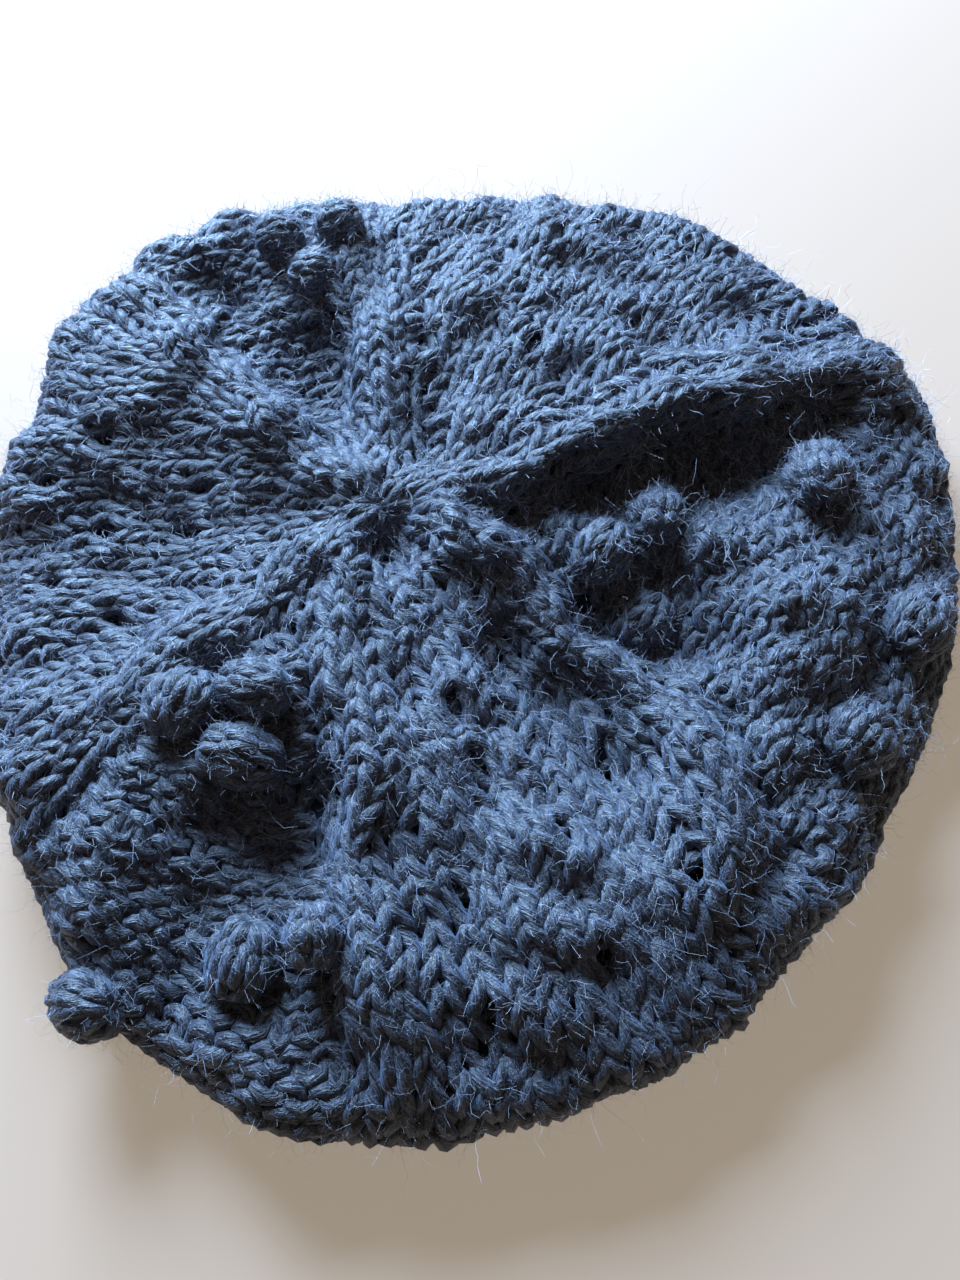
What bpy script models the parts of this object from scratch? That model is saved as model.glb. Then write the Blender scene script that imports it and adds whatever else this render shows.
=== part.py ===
"""A chunky hand-knitted beanie of the slouchy, beret-shaped kind, laid flat with its crown up.

The frame has +Z up and its origin under the middle of the hat, on the surface that it lies on.
Plan positions are given as an angle and a distance about the crown's centre, where the six ribs
of plain stitches meet. Sizes in the tables are in millimetres and angles in degrees.
"""

import math

import bmesh
import bpy
from mathutils import Matrix, Vector
from mathutils.bvhtree import BVHTree

MM = 0.001
COLLECTION = "knitted_beanie"

# The shell
WALL = 5.5  # thickness of the knitting
CROWN_CENTRE = (-26.8, 19.8)  # plan position of the crown's centre
SHOULDER = 18.0  # plan width of the rounded rim
EDGE_HEIGHT = 25.0  # height of the top where it turns into the rim
DOME_RISE = 4.0  # how much the top swells above that by the middle
TOP_ROWS = 15
RIM_ROWS = 7
UNDER_ROWS = 2

# Plan angle, distance of the rim from the crown's centre
OUTLINE = (
    (0, 164),
    (15, 167),
    (32, 156),
    (58, 138),
    (85, 118),
    (108, 122),
    (128, 124),
    (150, 115),
    (172, 112),
    (197, 111),
    (220, 124),
    (245, 145),
    (268, 159),
    (300, 160),
    (325, 157),
    (344, 161),
)

# Angle 20 mm out, 80 mm out and at the rim; ridge height, half width, lean to the clockwise side
SPOKES = (
    (6, 25, 18, 12.0, 10.0, 9.0),
    (91, 95, 94, 4.5, 8.5, 0.0),
    (139, 138, 144, 4.5, 8.5, 0.0),
    (222, 222, 226, 6.0, 9.0, 0.0),
    (251, 268, 274, 6.5, 9.0, 0.0),
    (-17, -37, -48, 6.5, 9.5, 0.0),
)
PANEL_COLUMNS = (14, 10, 16, 10, 12, 14)  # mesh columns of each panel, counted on from its spoke
COLUMN_CROWDING = 0.07  # draws a panel's mesh columns towards the ridges on either side of it

# Angle, distance, half length outwards, half width across, rise of each hollow or swell
SWELLS = (
    (8, 62, 42, 13, -9.5),
    (9, 106, 26, 13, -7.5),
    (336, 74, 20, 15, -9.5),
    (346, 112, 20, 34, 6.0),
    (356, 124, 12, 12, -4.0),
    (312, 56, 26, 13, -9.0),
    (296, 108, 20, 26, 5.0),
    (256, 92, 14, 17, -7.5),
    (240, 58, 16, 16, 2.5),
    (116, 50, 24, 12, -8.5),
    (128, 92, 18, 20, 3.0),
    (180, 66, 26, 15, -4.5),
    (205, 78, 24, 12, -5.0),
    (66, 84, 34, 28, 3.0),
    (282, 11, 7, 7, -4.5),
)

# Angle, distance of each lace eyelet
EYELETS = (
    (293, 62),
    (292, 84),
    (281, 114),
    (294, 112),
    (295, 134),
    (309, 129),
    (84, 104),
    (71, 99),
    (89, 70),
    (76, 58),
    (53, 65),
    (63, 82),
    (55, 107),
    (164, 85),
    (182, 80),
    (180, 60),
    (175, 97),
)
EYELET_WIDTH = 4.4

# Angle, distance, half length, half width, turn of each bobble's long side from the outward line
BOBBLES = (
    (348, 62, 9.5, 8.0, 60),
    (-2, 77, 9.5, 7.5, 80),
    (338, 78, 9.5, 8.5, 60),
    (4, 122, 11.0, 9.0, 70),
    (347, 148, 10.5, 9.0, 80),
    (332, 140, 10.5, 9.5, 60),
    (243.5, 62, 9.5, 7.5, 100),
    (232, 75, 9.5, 8.5, 0),
    (247, 78, 11.0, 8.0, 100),
    (266, 115, 8.0, 7.0, 0),
    (257.5, 122, 10.0, 9.3, 0),
    (244, 142, 9.5, 8.5, 90),
    (105, 86, 8.5, 7.0, 90),
    (98.5, 99, 8.0, 7.0, 90),
    (110, 101, 8.0, 7.0, 90),
)
BOBBLE_HEIGHT = 9.5
BOBBLE_SUNK = 0.5  # share of a bobble's half height that its flat underside takes off
BOBBLE_SEGMENTS = 12
BOBBLE_RINGS = 8
GAP = 0.5  # clearance between a bobble and the shell under it
CAST_FROM = 15.0  # height over a bobble from which the shell under it is looked for

# The band
BAND_CENTRE = (3.0, 2.0)
BAND_RADIUS = 84.0  # where the shell ends and the band begins
BAND_WIDTH = 30.0
BAND_THICKNESS = 5.0
BAND_GAP = 0.3
RIBS = 24
RIB_COLUMNS = 4
RIB_DEPTH = 1.2  # of the grooves between the ribs, on both faces

# Name, colour, roughness
MATERIALS = {
    "crown": ((0.035, 0.047, 0.075, 1.0), 0.92),
    "brim_band": ((0.032, 0.043, 0.070, 1.0), 0.92),
    "bobble": ((0.040, 0.053, 0.084, 1.0), 0.92),
}


def smooth_step(low, high, value):
    """0 up to low, 1 from high on, and a smooth change between them, also where high is below low."""
    share = min(max((value - low) / (high - low), 0.0), 1.0)
    return share * share * (3.0 - 2.0 * share)


def turn_between(a, b):
    """The angle in degrees from b to a, between -180 and 180."""
    return (a - b + 180.0) % 360.0 - 180.0


def rim_distance(angle):
    """The outline's distance from the crown's centre, as a smooth closed curve through the table."""
    angle %= 360.0
    count = len(OUTLINE)
    after = next((i for i, row in enumerate(OUTLINE) if row[0] > angle), count) % count
    rows = [OUTLINE[(after + step) % count] for step in (-2, -1, 0, 1)]
    turns = [turn_between(row[0], angle) for row in rows]
    share = -turns[1] / (turns[2] - turns[1])
    start_slope = (rows[2][1] - rows[0][1]) / (turns[2] - turns[0]) * (turns[2] - turns[1])
    end_slope = (rows[3][1] - rows[1][1]) / (turns[3] - turns[1]) * (turns[2] - turns[1])
    square, cube = share * share, share**3
    return (
        (2 * cube - 3 * square + 1) * rows[1][1]
        + (cube - 2 * square + share) * start_slope
        + (3 * square - 2 * cube) * rows[2][1]
        + (cube - square) * end_slope
    )


def spoke_angle(spoke, distance):
    """Where the ridge of a spoke lies at this distance from the crown's centre."""
    near, middle, far = spoke[:3]
    inner = smooth_step(8.0, 62.0, distance)
    outer = smooth_step(88.0, 150.0, distance)
    return near + (middle - near) * inner + (far - middle) * outer


def ridge_share(spoke, angle, distance):
    """How much of a spoke's height is felt at this place: 1 on its ridge, and less to either side."""
    across = math.radians(turn_between(angle, spoke_angle(spoke, distance))) * distance
    fade = smooth_step(3.0, 26.0, distance)
    fade *= 1.0 - 0.55 * smooth_step(-34.0, -6.0, distance - rim_distance(angle))
    return fade * math.exp(-((across / spoke[4]) ** 2))


def top_height(angle, distance):
    """Height of the hat's upper face over the surface that it lies on."""
    height = EDGE_HEIGHT + DOME_RISE * (1.0 - (distance / rim_distance(angle)) ** 2)
    height += sum(spoke[3] * ridge_share(spoke, angle, distance) for spoke in SPOKES)
    for at, out, length, width, rise in SWELLS:
        turn = math.radians(turn_between(angle, at))
        along = (distance * math.cos(turn) - out) / length
        across = distance * math.sin(turn) / width
        height += rise * math.exp(-(along * along + across * across))
    return height


def top_point(angle, distance):
    """A point of the upper face, with the leaning ridges carried over to their clockwise side."""
    turn = math.radians(angle)
    lean = sum(spoke[5] * ridge_share(spoke, angle, distance) for spoke in SPOKES)
    lean *= smooth_step(15.0, 60.0, distance) * smooth_step(154.0, 104.0, distance)
    return Vector(
        (
            CROWN_CENTRE[0] + distance * math.cos(turn) + lean * math.sin(turn),
            CROWN_CENTRE[1] + distance * math.sin(turn) - lean * math.cos(turn),
            top_height(angle, distance),
        )
    )


def band_distance(angle):
    """How far the edge of the band lies from the crown's centre in this direction."""
    turn = math.radians(angle)
    x, y = BAND_CENTRE[0] - CROWN_CENTRE[0], BAND_CENTRE[1] - CROWN_CENTRE[1]
    along = x * math.cos(turn) + y * math.sin(turn)
    across = y * math.cos(turn) - x * math.sin(turn)
    return along + math.sqrt(BAND_RADIUS**2 - across**2)


def column_lines():
    """Each mesh column as its spoke, the next spoke, and its share of the way between the two."""
    lines = []
    for index, count in enumerate(PANEL_COLUMNS):
        following = SPOKES[(index + 1) % len(SPOKES)]
        for step in range(count):
            share = step / count
            share -= COLUMN_CROWDING * math.sin(2.0 * math.pi * share)
            lines.append((SPOKES[index], following, share))
    return lines


def line_angle(line, distance):
    """The plan angle of a mesh column at this distance, so that columns run along the spokes."""
    spoke, following, share = line
    start = spoke_angle(spoke, distance)
    return start + share * (turn_between(spoke_angle(following, distance), start) % 360.0)


def shell_column(line):
    """The points of one mesh column, from beside the crown's centre over the rim to the band."""
    edge_angle = line_angle(line, 150.0)
    edge = rim_distance(edge_angle) - SHOULDER
    points = []
    for row in range(1, TOP_ROWS + 1):
        distance = edge * row / TOP_ROWS
        angle = line_angle(line, distance)
        angle += turn_between(edge_angle, angle) * smooth_step(0.85, 1.0, row / TOP_ROWS)
        points.append(top_point(angle, distance))
    shoulder = points[-1]
    out = Vector((math.cos(math.radians(edge_angle)), math.sin(math.radians(edge_angle)), 0.0))
    for row in range(1, RIM_ROWS + 1):
        turn = math.pi * row / RIM_ROWS
        point = shoulder + out * (SHOULDER * math.sin(turn))
        point.z = 0.5 * shoulder.z * (1.0 + math.cos(turn))
        points.append(point)
    foot = points[-1]
    turn = math.radians(edge_angle)
    inner = band_distance(edge_angle)
    end = Vector(
        (
            CROWN_CENTRE[0] + inner * math.cos(turn),
            CROWN_CENTRE[1] + inner * math.sin(turn),
            0.0,
        )
    )
    points += [foot.lerp(end, row / UNDER_ROWS) for row in range(1, UNDER_ROWS + 1)]
    return points


def new_object(name, mesh, collection, material):
    """An object of this mesh in the collection, smooth-shaded and in its material."""
    mesh.materials.append(material)
    mesh.shade_smooth()
    thing = bpy.data.objects.new(name, mesh)
    collection.objects.link(thing)
    return thing


def new_material(name):
    """The Principled material of this name, from MATERIALS."""
    colour, roughness = MATERIALS[name]
    material = bpy.data.materials.new(name)
    material.diffuse_color = colour
    material.use_nodes = True
    shader = material.node_tree.nodes["Principled BSDF"]
    shader.inputs["Base Color"].default_value = colour
    shader.inputs["Roughness"].default_value = roughness
    shader.inputs["Metallic"].default_value = 0.0
    return material


def cut_eyelets(shape):
    """Opens a hole in the mesh face nearest to each place in EYELETS."""
    for angle, distance in EYELETS:
        place = top_point(angle, distance) * MM
        quads = [face for face in shape.faces if len(face.verts) == 4]
        face = min(quads, key=lambda quad: (quad.calc_center_median() - place).length)
        narrow = min(edge.calc_length() for edge in face.edges)
        border = max(0.5 * (narrow - EYELET_WIDTH * MM), 0.15 * narrow)
        bmesh.ops.inset_individual(shape, faces=[face], thickness=border)
        bmesh.ops.delete(shape, geom=[face], context="FACES")


def build_crown(collection):
    """The knitted shell: an open outer face, lofted along the spokes and given its wall inwards."""
    shape = bmesh.new()
    centre = shape.verts.new(top_point(0.0, 0.0) * MM)
    columns = []
    for line in column_lines():
        columns.append([shape.verts.new(point * MM) for point in shell_column(line)])
    for column, following in zip(columns, columns[1:] + columns[:1]):
        shape.faces.new((centre, column[0], following[0]))
        for inner, outer in zip(range(len(column)), range(1, len(column))):
            shape.faces.new((column[inner], column[outer], following[outer], following[inner]))
    cut_eyelets(shape)
    bmesh.ops.recalc_face_normals(shape, faces=shape.faces)
    mesh = bpy.data.meshes.new("crown")
    shape.to_mesh(mesh)
    shape.free()
    crown = new_object("crown", mesh, collection, new_material("crown"))
    wall = crown.modifiers.new("wall", "SOLIDIFY")
    wall.thickness = WALL * MM
    wall.offset = -1.0
    wall.use_even_offset = True
    return crown


def build_band(collection):
    """The ribbed band: a flat ring, grooved between its ribs, that lies on the surface."""
    outer = BAND_RADIUS - BAND_GAP
    inner = outer - BAND_WIDTH
    section = (  # distance from the middle, height, how much the grooves move it
        (outer, 0.0, 0.0),
        (outer, BAND_THICKNESS, 0.0),
        (outer - 5.0, BAND_THICKNESS, -RIB_DEPTH),
        (inner + 2.0, BAND_THICKNESS, -RIB_DEPTH),
        (inner, 0.5 * BAND_THICKNESS, 0.0),
        (inner + 2.0, 0.0, RIB_DEPTH),
        (outer - 5.0, 0.0, RIB_DEPTH),
    )
    shape = bmesh.new()
    count = RIBS * RIB_COLUMNS
    rings = []
    for column in range(count):
        turn = 2.0 * math.pi * column / count
        in_groove = column % RIB_COLUMNS >= RIB_COLUMNS // 2
        ring = []
        for distance, height, groove in section:
            x = BAND_CENTRE[0] + distance * math.cos(turn)
            y = BAND_CENTRE[1] + distance * math.sin(turn)
            ring.append(shape.verts.new(Vector((x, y, height + groove * in_groove)) * MM))
        rings.append(ring)
    for ring, following in zip(rings, rings[1:] + rings[:1]):
        for first in range(len(section)):
            second = (first + 1) % len(section)
            shape.faces.new((ring[first], ring[second], following[second], following[first]))
    bmesh.ops.recalc_face_normals(shape, faces=shape.faces)
    mesh = bpy.data.meshes.new("brim_band")
    shape.to_mesh(mesh)
    shape.free()
    return new_object("brim_band", mesh, collection, new_material("brim_band"))


def surface_of(thing):
    """The evaluated faces of an object, for finding the nearest point on them."""
    bpy.context.view_layer.update()
    return BVHTree.FromObject(thing, bpy.context.evaluated_depsgraph_get())


def seat_frame(surface, angle, distance):
    """The place on the shell's outer face at this angle and distance, with axes along and off it."""
    turn = math.radians(angle)
    out = Vector((math.cos(turn), math.sin(turn), 0.0))
    edge = rim_distance(angle) - SHOULDER
    if distance <= edge:
        guess = top_point(angle, distance) * MM
    else:
        lift = math.acos(min((distance - edge) / SHOULDER, 1.0))
        shoulder = top_point(angle, edge)
        guess = shoulder + out * (distance - edge)
        guess.z = 0.5 * shoulder.z * (1.0 + math.sin(lift))
        guess *= MM
    place, normal, _, _ = surface.find_nearest(guess)
    along = (out - normal * out.dot(normal)).normalized()
    return place, along, normal.cross(along), normal


def build_bobble(name, row, surface, collection, material):
    """One bobble: an oval knob whose underside follows the shell at a small gap."""
    angle, distance, half_length, half_width, turn = row
    place, along, across, normal = seat_frame(surface, angle, distance)
    frame = Matrix((along, across, normal)).transposed()
    frame = frame @ Matrix.Rotation(math.radians(turn), 3, "Z")
    shape = bmesh.new()
    bmesh.ops.create_uvsphere(
        shape, u_segments=BOBBLE_SEGMENTS, v_segments=BOBBLE_RINGS, radius=1.0
    )
    rise = BOBBLE_HEIGHT / (2.0 - BOBBLE_SUNK)
    for vert in shape.verts:
        height = max((1.0 - BOBBLE_SUNK + vert.co.z) * rise, 0.0) + GAP
        over = frame @ Vector((vert.co.x * half_length, vert.co.y * half_width, CAST_FROM))
        below, _, _, _ = surface.ray_cast(place + over * MM, -normal)
        vert.co = below + normal * height * MM
    mesh = bpy.data.meshes.new(name)
    shape.to_mesh(mesh)
    shape.free()
    return new_object(name, mesh, collection, material)


def main():
    """Clears the scene and builds the hat in its own collection."""
    for thing in list(bpy.data.objects):
        bpy.data.objects.remove(thing, do_unlink=True)
    collection = bpy.data.collections.new(COLLECTION)
    bpy.context.scene.collection.children.link(collection)
    crown = build_crown(collection)
    build_band(collection)
    surface = surface_of(crown)
    material = new_material("bobble")
    for number, row in enumerate(BOBBLES, start=1):
        build_bobble(f"bobble_{number:02d}", row, surface, collection, material)


main()
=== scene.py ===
"""A chunky hand-knitted slouch beanie, made stitch by stitch from one fluffy wool yarn.

The hat lies flat with its crown up. The yarn of every stitch is swept along its own path over
the hat's form: plain stitches on the six spokes, purl ground with bobbles and lace in the panels
between them, and a ribbed band beneath. Lengths are in millimetres until a mesh is made, and
angles in degrees about the crown's centre. Points are arrays with three numbers to a row.
"""

from __future__ import annotations

import logging
import math
from collections.abc import Callable
from dataclasses import dataclass, field
from enum import Enum

import bpy
import numpy as np
from bpy.types import Material, Mesh, Node, NodeSocket, NodeTree, Object
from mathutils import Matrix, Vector


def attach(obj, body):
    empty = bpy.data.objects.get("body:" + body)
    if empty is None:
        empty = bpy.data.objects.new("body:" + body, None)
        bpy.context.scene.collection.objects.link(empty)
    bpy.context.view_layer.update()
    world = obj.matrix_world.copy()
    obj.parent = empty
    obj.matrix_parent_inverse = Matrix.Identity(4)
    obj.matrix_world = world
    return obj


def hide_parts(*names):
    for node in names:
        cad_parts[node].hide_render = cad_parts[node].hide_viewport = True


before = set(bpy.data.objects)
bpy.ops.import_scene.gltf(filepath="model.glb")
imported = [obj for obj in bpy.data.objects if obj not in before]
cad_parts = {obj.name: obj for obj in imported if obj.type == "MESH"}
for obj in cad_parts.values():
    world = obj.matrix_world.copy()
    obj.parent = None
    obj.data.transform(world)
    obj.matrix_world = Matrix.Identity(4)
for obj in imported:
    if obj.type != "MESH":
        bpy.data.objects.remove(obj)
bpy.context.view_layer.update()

MM = 0.001
TAU = 2.0 * math.pi
WHOLE_TURN = 360.0
FAR_OFF = 9.0  # metres, past everything
SPOKES = 6
BODY = "root"
UV_MAP = "OFBake"
LOG = logging.getLogger("beanie")
Array = np.ndarray
Pair = tuple[float, float]
Triple = tuple[float, float, float]


def smooth_step(low: float, high: float, value: Array) -> Array:
    """A smooth change, which may also run from a high value down to a low one.

    Args:
        low: where it begins.
        high: where it ends.
        value: where it is wanted.

    Returns:
        How far it has come, 0 to 1.
    """
    share = np.clip((np.asarray(value, float) - low) / (high - low), 0.0, 1.0)
    return share * share * (3.0 - 2.0 * share)


def turn_between(a: Array, b: Array) -> Array:
    """The turn from one angle to another, the shorter way round.

    Args:
        a: the angle that it ends at.
        b: the angle that it begins at.

    Returns:
        The turn in degrees, between -180 and 180.
    """
    half = 0.5 * WHOLE_TURN
    return (np.asarray(a) - b + half) % WHOLE_TURN - half


@dataclass(frozen=True)
class Spoke:
    """A rib of plain stitches from the crown's centre to the rim.

    Its angle is given near the centre, half-way out and at the rim. It stands up as a ridge of
    this height and half width, and may lean over to its clockwise side. Half its wales lie on
    either side of its middle.
    """

    near: float
    middle: float
    far: float
    height: float
    half_width: float
    lean: float
    half_wales: float
    inner_bend: Pair = (8.0, 62.0)  # it swings round between these distances
    outer_bend: Pair = (88.0, 150.0)  # and again between these

    def angle(self, distance: Array) -> Array:
        """Where its ridge lies.

        Args:
            distance: distances from the crown's centre.

        Returns:
            The ridge's plan angles there.
        """
        inner = smooth_step(*self.inner_bend, distance)
        outer = smooth_step(*self.outer_bend, distance)
        return self.near + (self.middle - self.near) * inner + (self.far - self.middle) * outer


@dataclass(frozen=True)
class Swell:
    """A soft rise or hollow of the crown: where it is, its half sizes and how far it rises."""

    angle: float
    distance: float
    length: float
    width: float
    rise: float


@dataclass(frozen=True)
class Ripples:
    """The soft lumps that a hand leaves in knitting: waves in many directions, summed."""

    lengths: tuple[float, ...]
    rises: tuple[float, ...]
    seed: int
    waves: int = 10

    def at(self, points: Array) -> Array:
        """Sums the waves.

        Args:
            points: where they are wanted.

        Returns:
            How far the fabric is out of its even place at each point.
        """
        dice = np.random.default_rng(self.seed)
        total = np.zeros(points.shape[:-1])
        for length, rise in zip(self.lengths, self.rises):
            way = dice.normal(size=(self.waves, 3))
            way *= TAU / length / np.linalg.norm(way, axis=1, keepdims=True)
            phase = dice.uniform(0.0, TAU, self.waves)
            total += rise * math.sqrt(2.0 / self.waves) * np.sin(points @ way.T + phase).sum(axis=-1)
        return total


@dataclass(frozen=True)
class HatForm:
    """The outer face of the hat as it lies, over the crown, round the rim and in beneath.

    A place on it has a plan angle and a reach, the way from the crown's centre along the face.
    """

    centre: Pair = (-26.8, 19.8)  # of the crown, where the spokes meet
    wall: float = 5.5
    shoulder: float = 18.0
    edge_height: float = 25.0
    dome_rise: float = 4.0
    rim_arc: float = 48.7
    band_centre: Pair = (3.0, 2.0)
    band_radius: float = 84.0
    outline: tuple[Pair, ...] = (  # plan angles, and distances from the crown's centre
        (0, 164), (15, 167), (32, 156), (58, 138), (85, 118), (108, 122), (128, 124), (150, 115),
        (172, 112), (197, 111), (220, 124), (245, 145), (268, 159), (300, 160), (325, 157), (344, 161),
    )
    spokes: tuple[Spoke, ...] = (
        Spoke(6, 25, 18, 12.0, 10.0, 9.0, 2.0),
        Spoke(91, 95, 94, 4.5, 8.5, 0.0, 1.5),
        Spoke(139, 138, 144, 4.5, 8.5, 0.0, 1.5),
        Spoke(222, 222, 226, 6.0, 9.0, 0.0, 1.5),
        Spoke(251, 268, 274, 6.5, 9.0, 0.0, 1.5),
        Spoke(-17, -37, -48, 6.5, 9.5, 0.0, 1.5),
    )
    swells: tuple[Swell, ...] = (  # which the solid has too
        Swell(8, 62, 42, 13, -9.5), Swell(9, 106, 26, 13, -7.5), Swell(336, 74, 20, 15, -9.5),
        Swell(346, 112, 20, 34, 6.0), Swell(356, 124, 12, 12, -4.0), Swell(312, 56, 26, 13, -9.0),
        Swell(296, 108, 20, 26, 5.0), Swell(256, 92, 14, 17, -7.5), Swell(240, 58, 16, 16, 2.5),
        Swell(116, 50, 24, 12, -8.5), Swell(128, 92, 18, 20, 3.0), Swell(180, 66, 26, 15, -4.5),
        Swell(205, 78, 24, 12, -5.0), Swell(66, 84, 34, 28, 3.0), Swell(282, 11, 7, 7, -4.5),
    )
    dents: tuple[Swell, ...] = (  # which only the fabric has
        Swell(286, 11, 8, 8, -5.0), Swell(106, 62, 34, 9, -6.0), Swell(124, 82, 32, 14, -5.5),
        Swell(206, 34, 20, 8, -3.5), Swell(128, 108, 11, 30, 5.5), Swell(189, 82, 42, 22, -7.5),
        Swell(148, 86, 26, 9, 4.0), Swell(84, 21, 9, 14, -4.0), Swell(4, 24, 12, 7, -3.0),
        Swell(311, 88, 26, 26, -9.0), Swell(342, 86, 20, 20, -7.0), Swell(284, 84, 26, 14, 3.0),
        Swell(292, 128, 14, 44, 5.0), Swell(350, 118, 14, 26, 4.0), Swell(326, 122, 13, 22, 4.5),
        Swell(338, 152, 22, 46, -8.0), Swell(306, 160, 20, 44, -8.0), Swell(276, 162, 20, 44, -8.0),
        Swell(254, 120, 20, 16, -7.0), Swell(240, 86, 16, 18, 3.0), Swell(244, 150, 20, 30, -5.0),
        Swell(12, 120, 20, 14, 3.0),
    )
    lumps: Ripples = Ripples((34.0, 18.0, 10.0), (1.4, 0.85, 0.3), 3)
    lump_heights: Pair = (4.0, 24.0)  # the lumps come in between these
    ridge_growth: Pair = (3.0, 26.0)  # the ridges grow up over these distances
    ridge_end: Pair = (-34.0, -6.0)  # and sink again here, counted from the rim
    ridge_loss: float = 0.55
    lean_growth: Pair = (15.0, 60.0)
    lean_end: Pair = (154.0, 104.0)
    normal_step: float = 0.6
    normal_reach: float = 2.0  # nearer the centre than this, the step round it grows no wider

    def rim_distance(self, angle: Array) -> Array:
        """The outline, as a smooth closed curve through its given points.

        Args:
            angle: plan angles.

        Returns:
            Its distances from the crown's centre.
        """
        # Cubic pieces; the slope at a point is that of the line between its neighbours.
        laps = (-1, 0, 1)
        at, reach = np.array([(a + WHOLE_TURN * lap, r) for lap in laps for a, r in self.outline]).T
        slope = np.zeros_like(reach)
        slope[1:-1] = (reach[2:] - reach[:-2]) / (at[2:] - at[:-2])
        angle = np.asarray(angle, float) % WHOLE_TURN
        low = np.searchsorted(at, angle, side="right") - 1
        span = at[low + 1] - at[low]
        share = (angle - at[low]) / span
        square, cube = share**2, share**3
        return (
            (2 * cube - 3 * square + 1) * reach[low]
            + (cube - 2 * square + share) * slope[low] * span
            + (3 * square - 2 * cube) * reach[low + 1]
            + (cube - square) * slope[low + 1] * span
        )

    def edge(self, angle: Array) -> Array:
        """How far the top reaches before it turns into the rim."""
        return self.rim_distance(angle) - self.shoulder

    def band_distance(self, angle: Array) -> Array:
        """How far the edge of the band lies from the crown's centre.

        Args:
            angle: plan angles.

        Returns:
            The distances.
        """
        turn = np.radians(angle)
        x = self.band_centre[0] - self.centre[0]
        y = self.band_centre[1] - self.centre[1]
        across = y * np.cos(turn) - x * np.sin(turn)
        return x * np.cos(turn) + y * np.sin(turn) + np.sqrt(self.band_radius**2 - across**2)

    def whole_reach(self, angle: Array) -> Array:
        """The way from the crown's centre over the rim to the band."""
        return 2.0 * self.edge(angle) + self.rim_arc - self.band_distance(angle)

    def ridge_share(self, spoke: Spoke, angle: Array, distance: Array) -> Array:
        """How much of a spoke's height is felt.

        Args:
            spoke: the spoke.
            angle: plan angles.
            distance: distances from the crown's centre.

        Returns:
            The shares: 1 on its ridge, and less to either side.
        """
        across = np.radians(turn_between(angle, spoke.angle(distance))) * distance
        sunk = smooth_step(*self.ridge_end, distance - self.rim_distance(angle))
        fade = smooth_step(*self.ridge_growth, distance) * (1.0 - self.ridge_loss * sunk)
        return fade * np.exp(-((across / spoke.half_width) ** 2))

    def top(self, angle: Array, distance: Array) -> Array:
        """Points of the upper face.

        Args:
            angle: plan angles.
            distance: distances from the crown's centre.

        Returns:
            The points, with the leaning ridges carried over.
        """
        turn = np.radians(angle)
        dome = 1.0 - (distance / self.rim_distance(angle)) ** 2
        height = self.edge_height + self.dome_rise * dome
        lean = np.zeros_like(height)
        for spoke in self.spokes:
            share = self.ridge_share(spoke, angle, distance)
            height = height + spoke.height * share
            lean = lean + spoke.lean * share
        for swell in (*self.swells, *self.dents):
            off = np.radians(turn_between(angle, swell.angle))
            along = (distance * np.cos(off) - swell.distance) / swell.length
            across = distance * np.sin(off) / swell.width
            height = height + swell.rise * np.exp(-(along**2 + across**2))
        lean = lean * smooth_step(*self.lean_growth, distance)
        lean = lean * smooth_step(*self.lean_end, distance)
        x = self.centre[0] + distance * np.cos(turn) + lean * np.sin(turn)
        y = self.centre[1] + distance * np.sin(turn) - lean * np.cos(turn)
        return np.stack([x, y, height], axis=-1)

    def face(self, angle: Array, reach: Array) -> Array:
        """The outer face without its lumps, over the crown, round the rim and in beneath.

        Args:
            angle: plan angles.
            reach: the way from the crown's centre along the face.

        Returns:
            The points.
        """
        angle, reach = np.broadcast_arrays(np.asarray(angle, float), np.asarray(reach, float))
        edge = self.edge(angle)
        points = self.top(angle, np.minimum(reach, edge))
        out = np.stack([np.cos(np.radians(angle)), np.sin(np.radians(angle))], axis=-1)
        lap = np.clip((reach - edge) / self.rim_arc, 0.0, 1.0) * math.pi
        past = np.maximum(reach - edge - self.rim_arc, 0.0)
        points[..., :2] += out * (self.shoulder * np.sin(lap) - past)[..., None]
        points[..., 2] *= 0.5 * (1.0 + np.cos(lap))
        return points

    def place(self, angle: Array, reach: Array, depth: Array) -> Array:
        """Places in the fabric, or on its outer face with the lumps.

        Args:
            angle: plan angles.
            reach: the way from the crown's centre along the face.
            depth: how far under the outer face.

        Returns:
            The points.
        """
        face = self.face(angle, reach)
        raised = self.lumps.at(face) * smooth_step(*self.lump_heights, face[..., 2]) - depth
        return face + self.normal(angle, reach) * raised[..., None]

    def normal(self, angle: Array, reach: Array) -> Array:
        """The way straight out of the outer face, from points a small step apart.

        Args:
            angle: plan angles.
            reach: the way from the crown's centre along the face.

        Returns:
            The ways, each of length 1.
        """
        step = self.normal_step
        turn = np.degrees(step / np.maximum(np.minimum(reach, self.edge(angle)), self.normal_reach))
        outward = self.face(angle, reach + step) - self.face(angle, np.maximum(reach - step, 0.0))
        round_it = self.face(angle + turn, reach) - self.face(angle - turn, reach)
        normal = np.cross(outward, round_it)
        return normal / np.maximum(np.linalg.norm(normal, axis=-1, keepdims=True), 1e-9)


class Stitch(Enum):
    """How a stitch shows on the outer face."""

    KNIT = 0  # its legs stand in front, as a V that opens outwards
    PURL = 1  # its head and foot stand in front, as a bump
    EYELET = 2  # a yarn-over: a wide arch over a hole


@dataclass(frozen=True)
class Eyelet:
    """A lace hole: its plan angle, its distance from the crown's centre and its radius."""

    angle: float
    distance: float
    radius: float


@dataclass(frozen=True)
class Panel:
    """What is worked between a spoke and the next one round."""

    ground: Stitch
    eyelets: tuple[Eyelet, ...] = ()


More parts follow.
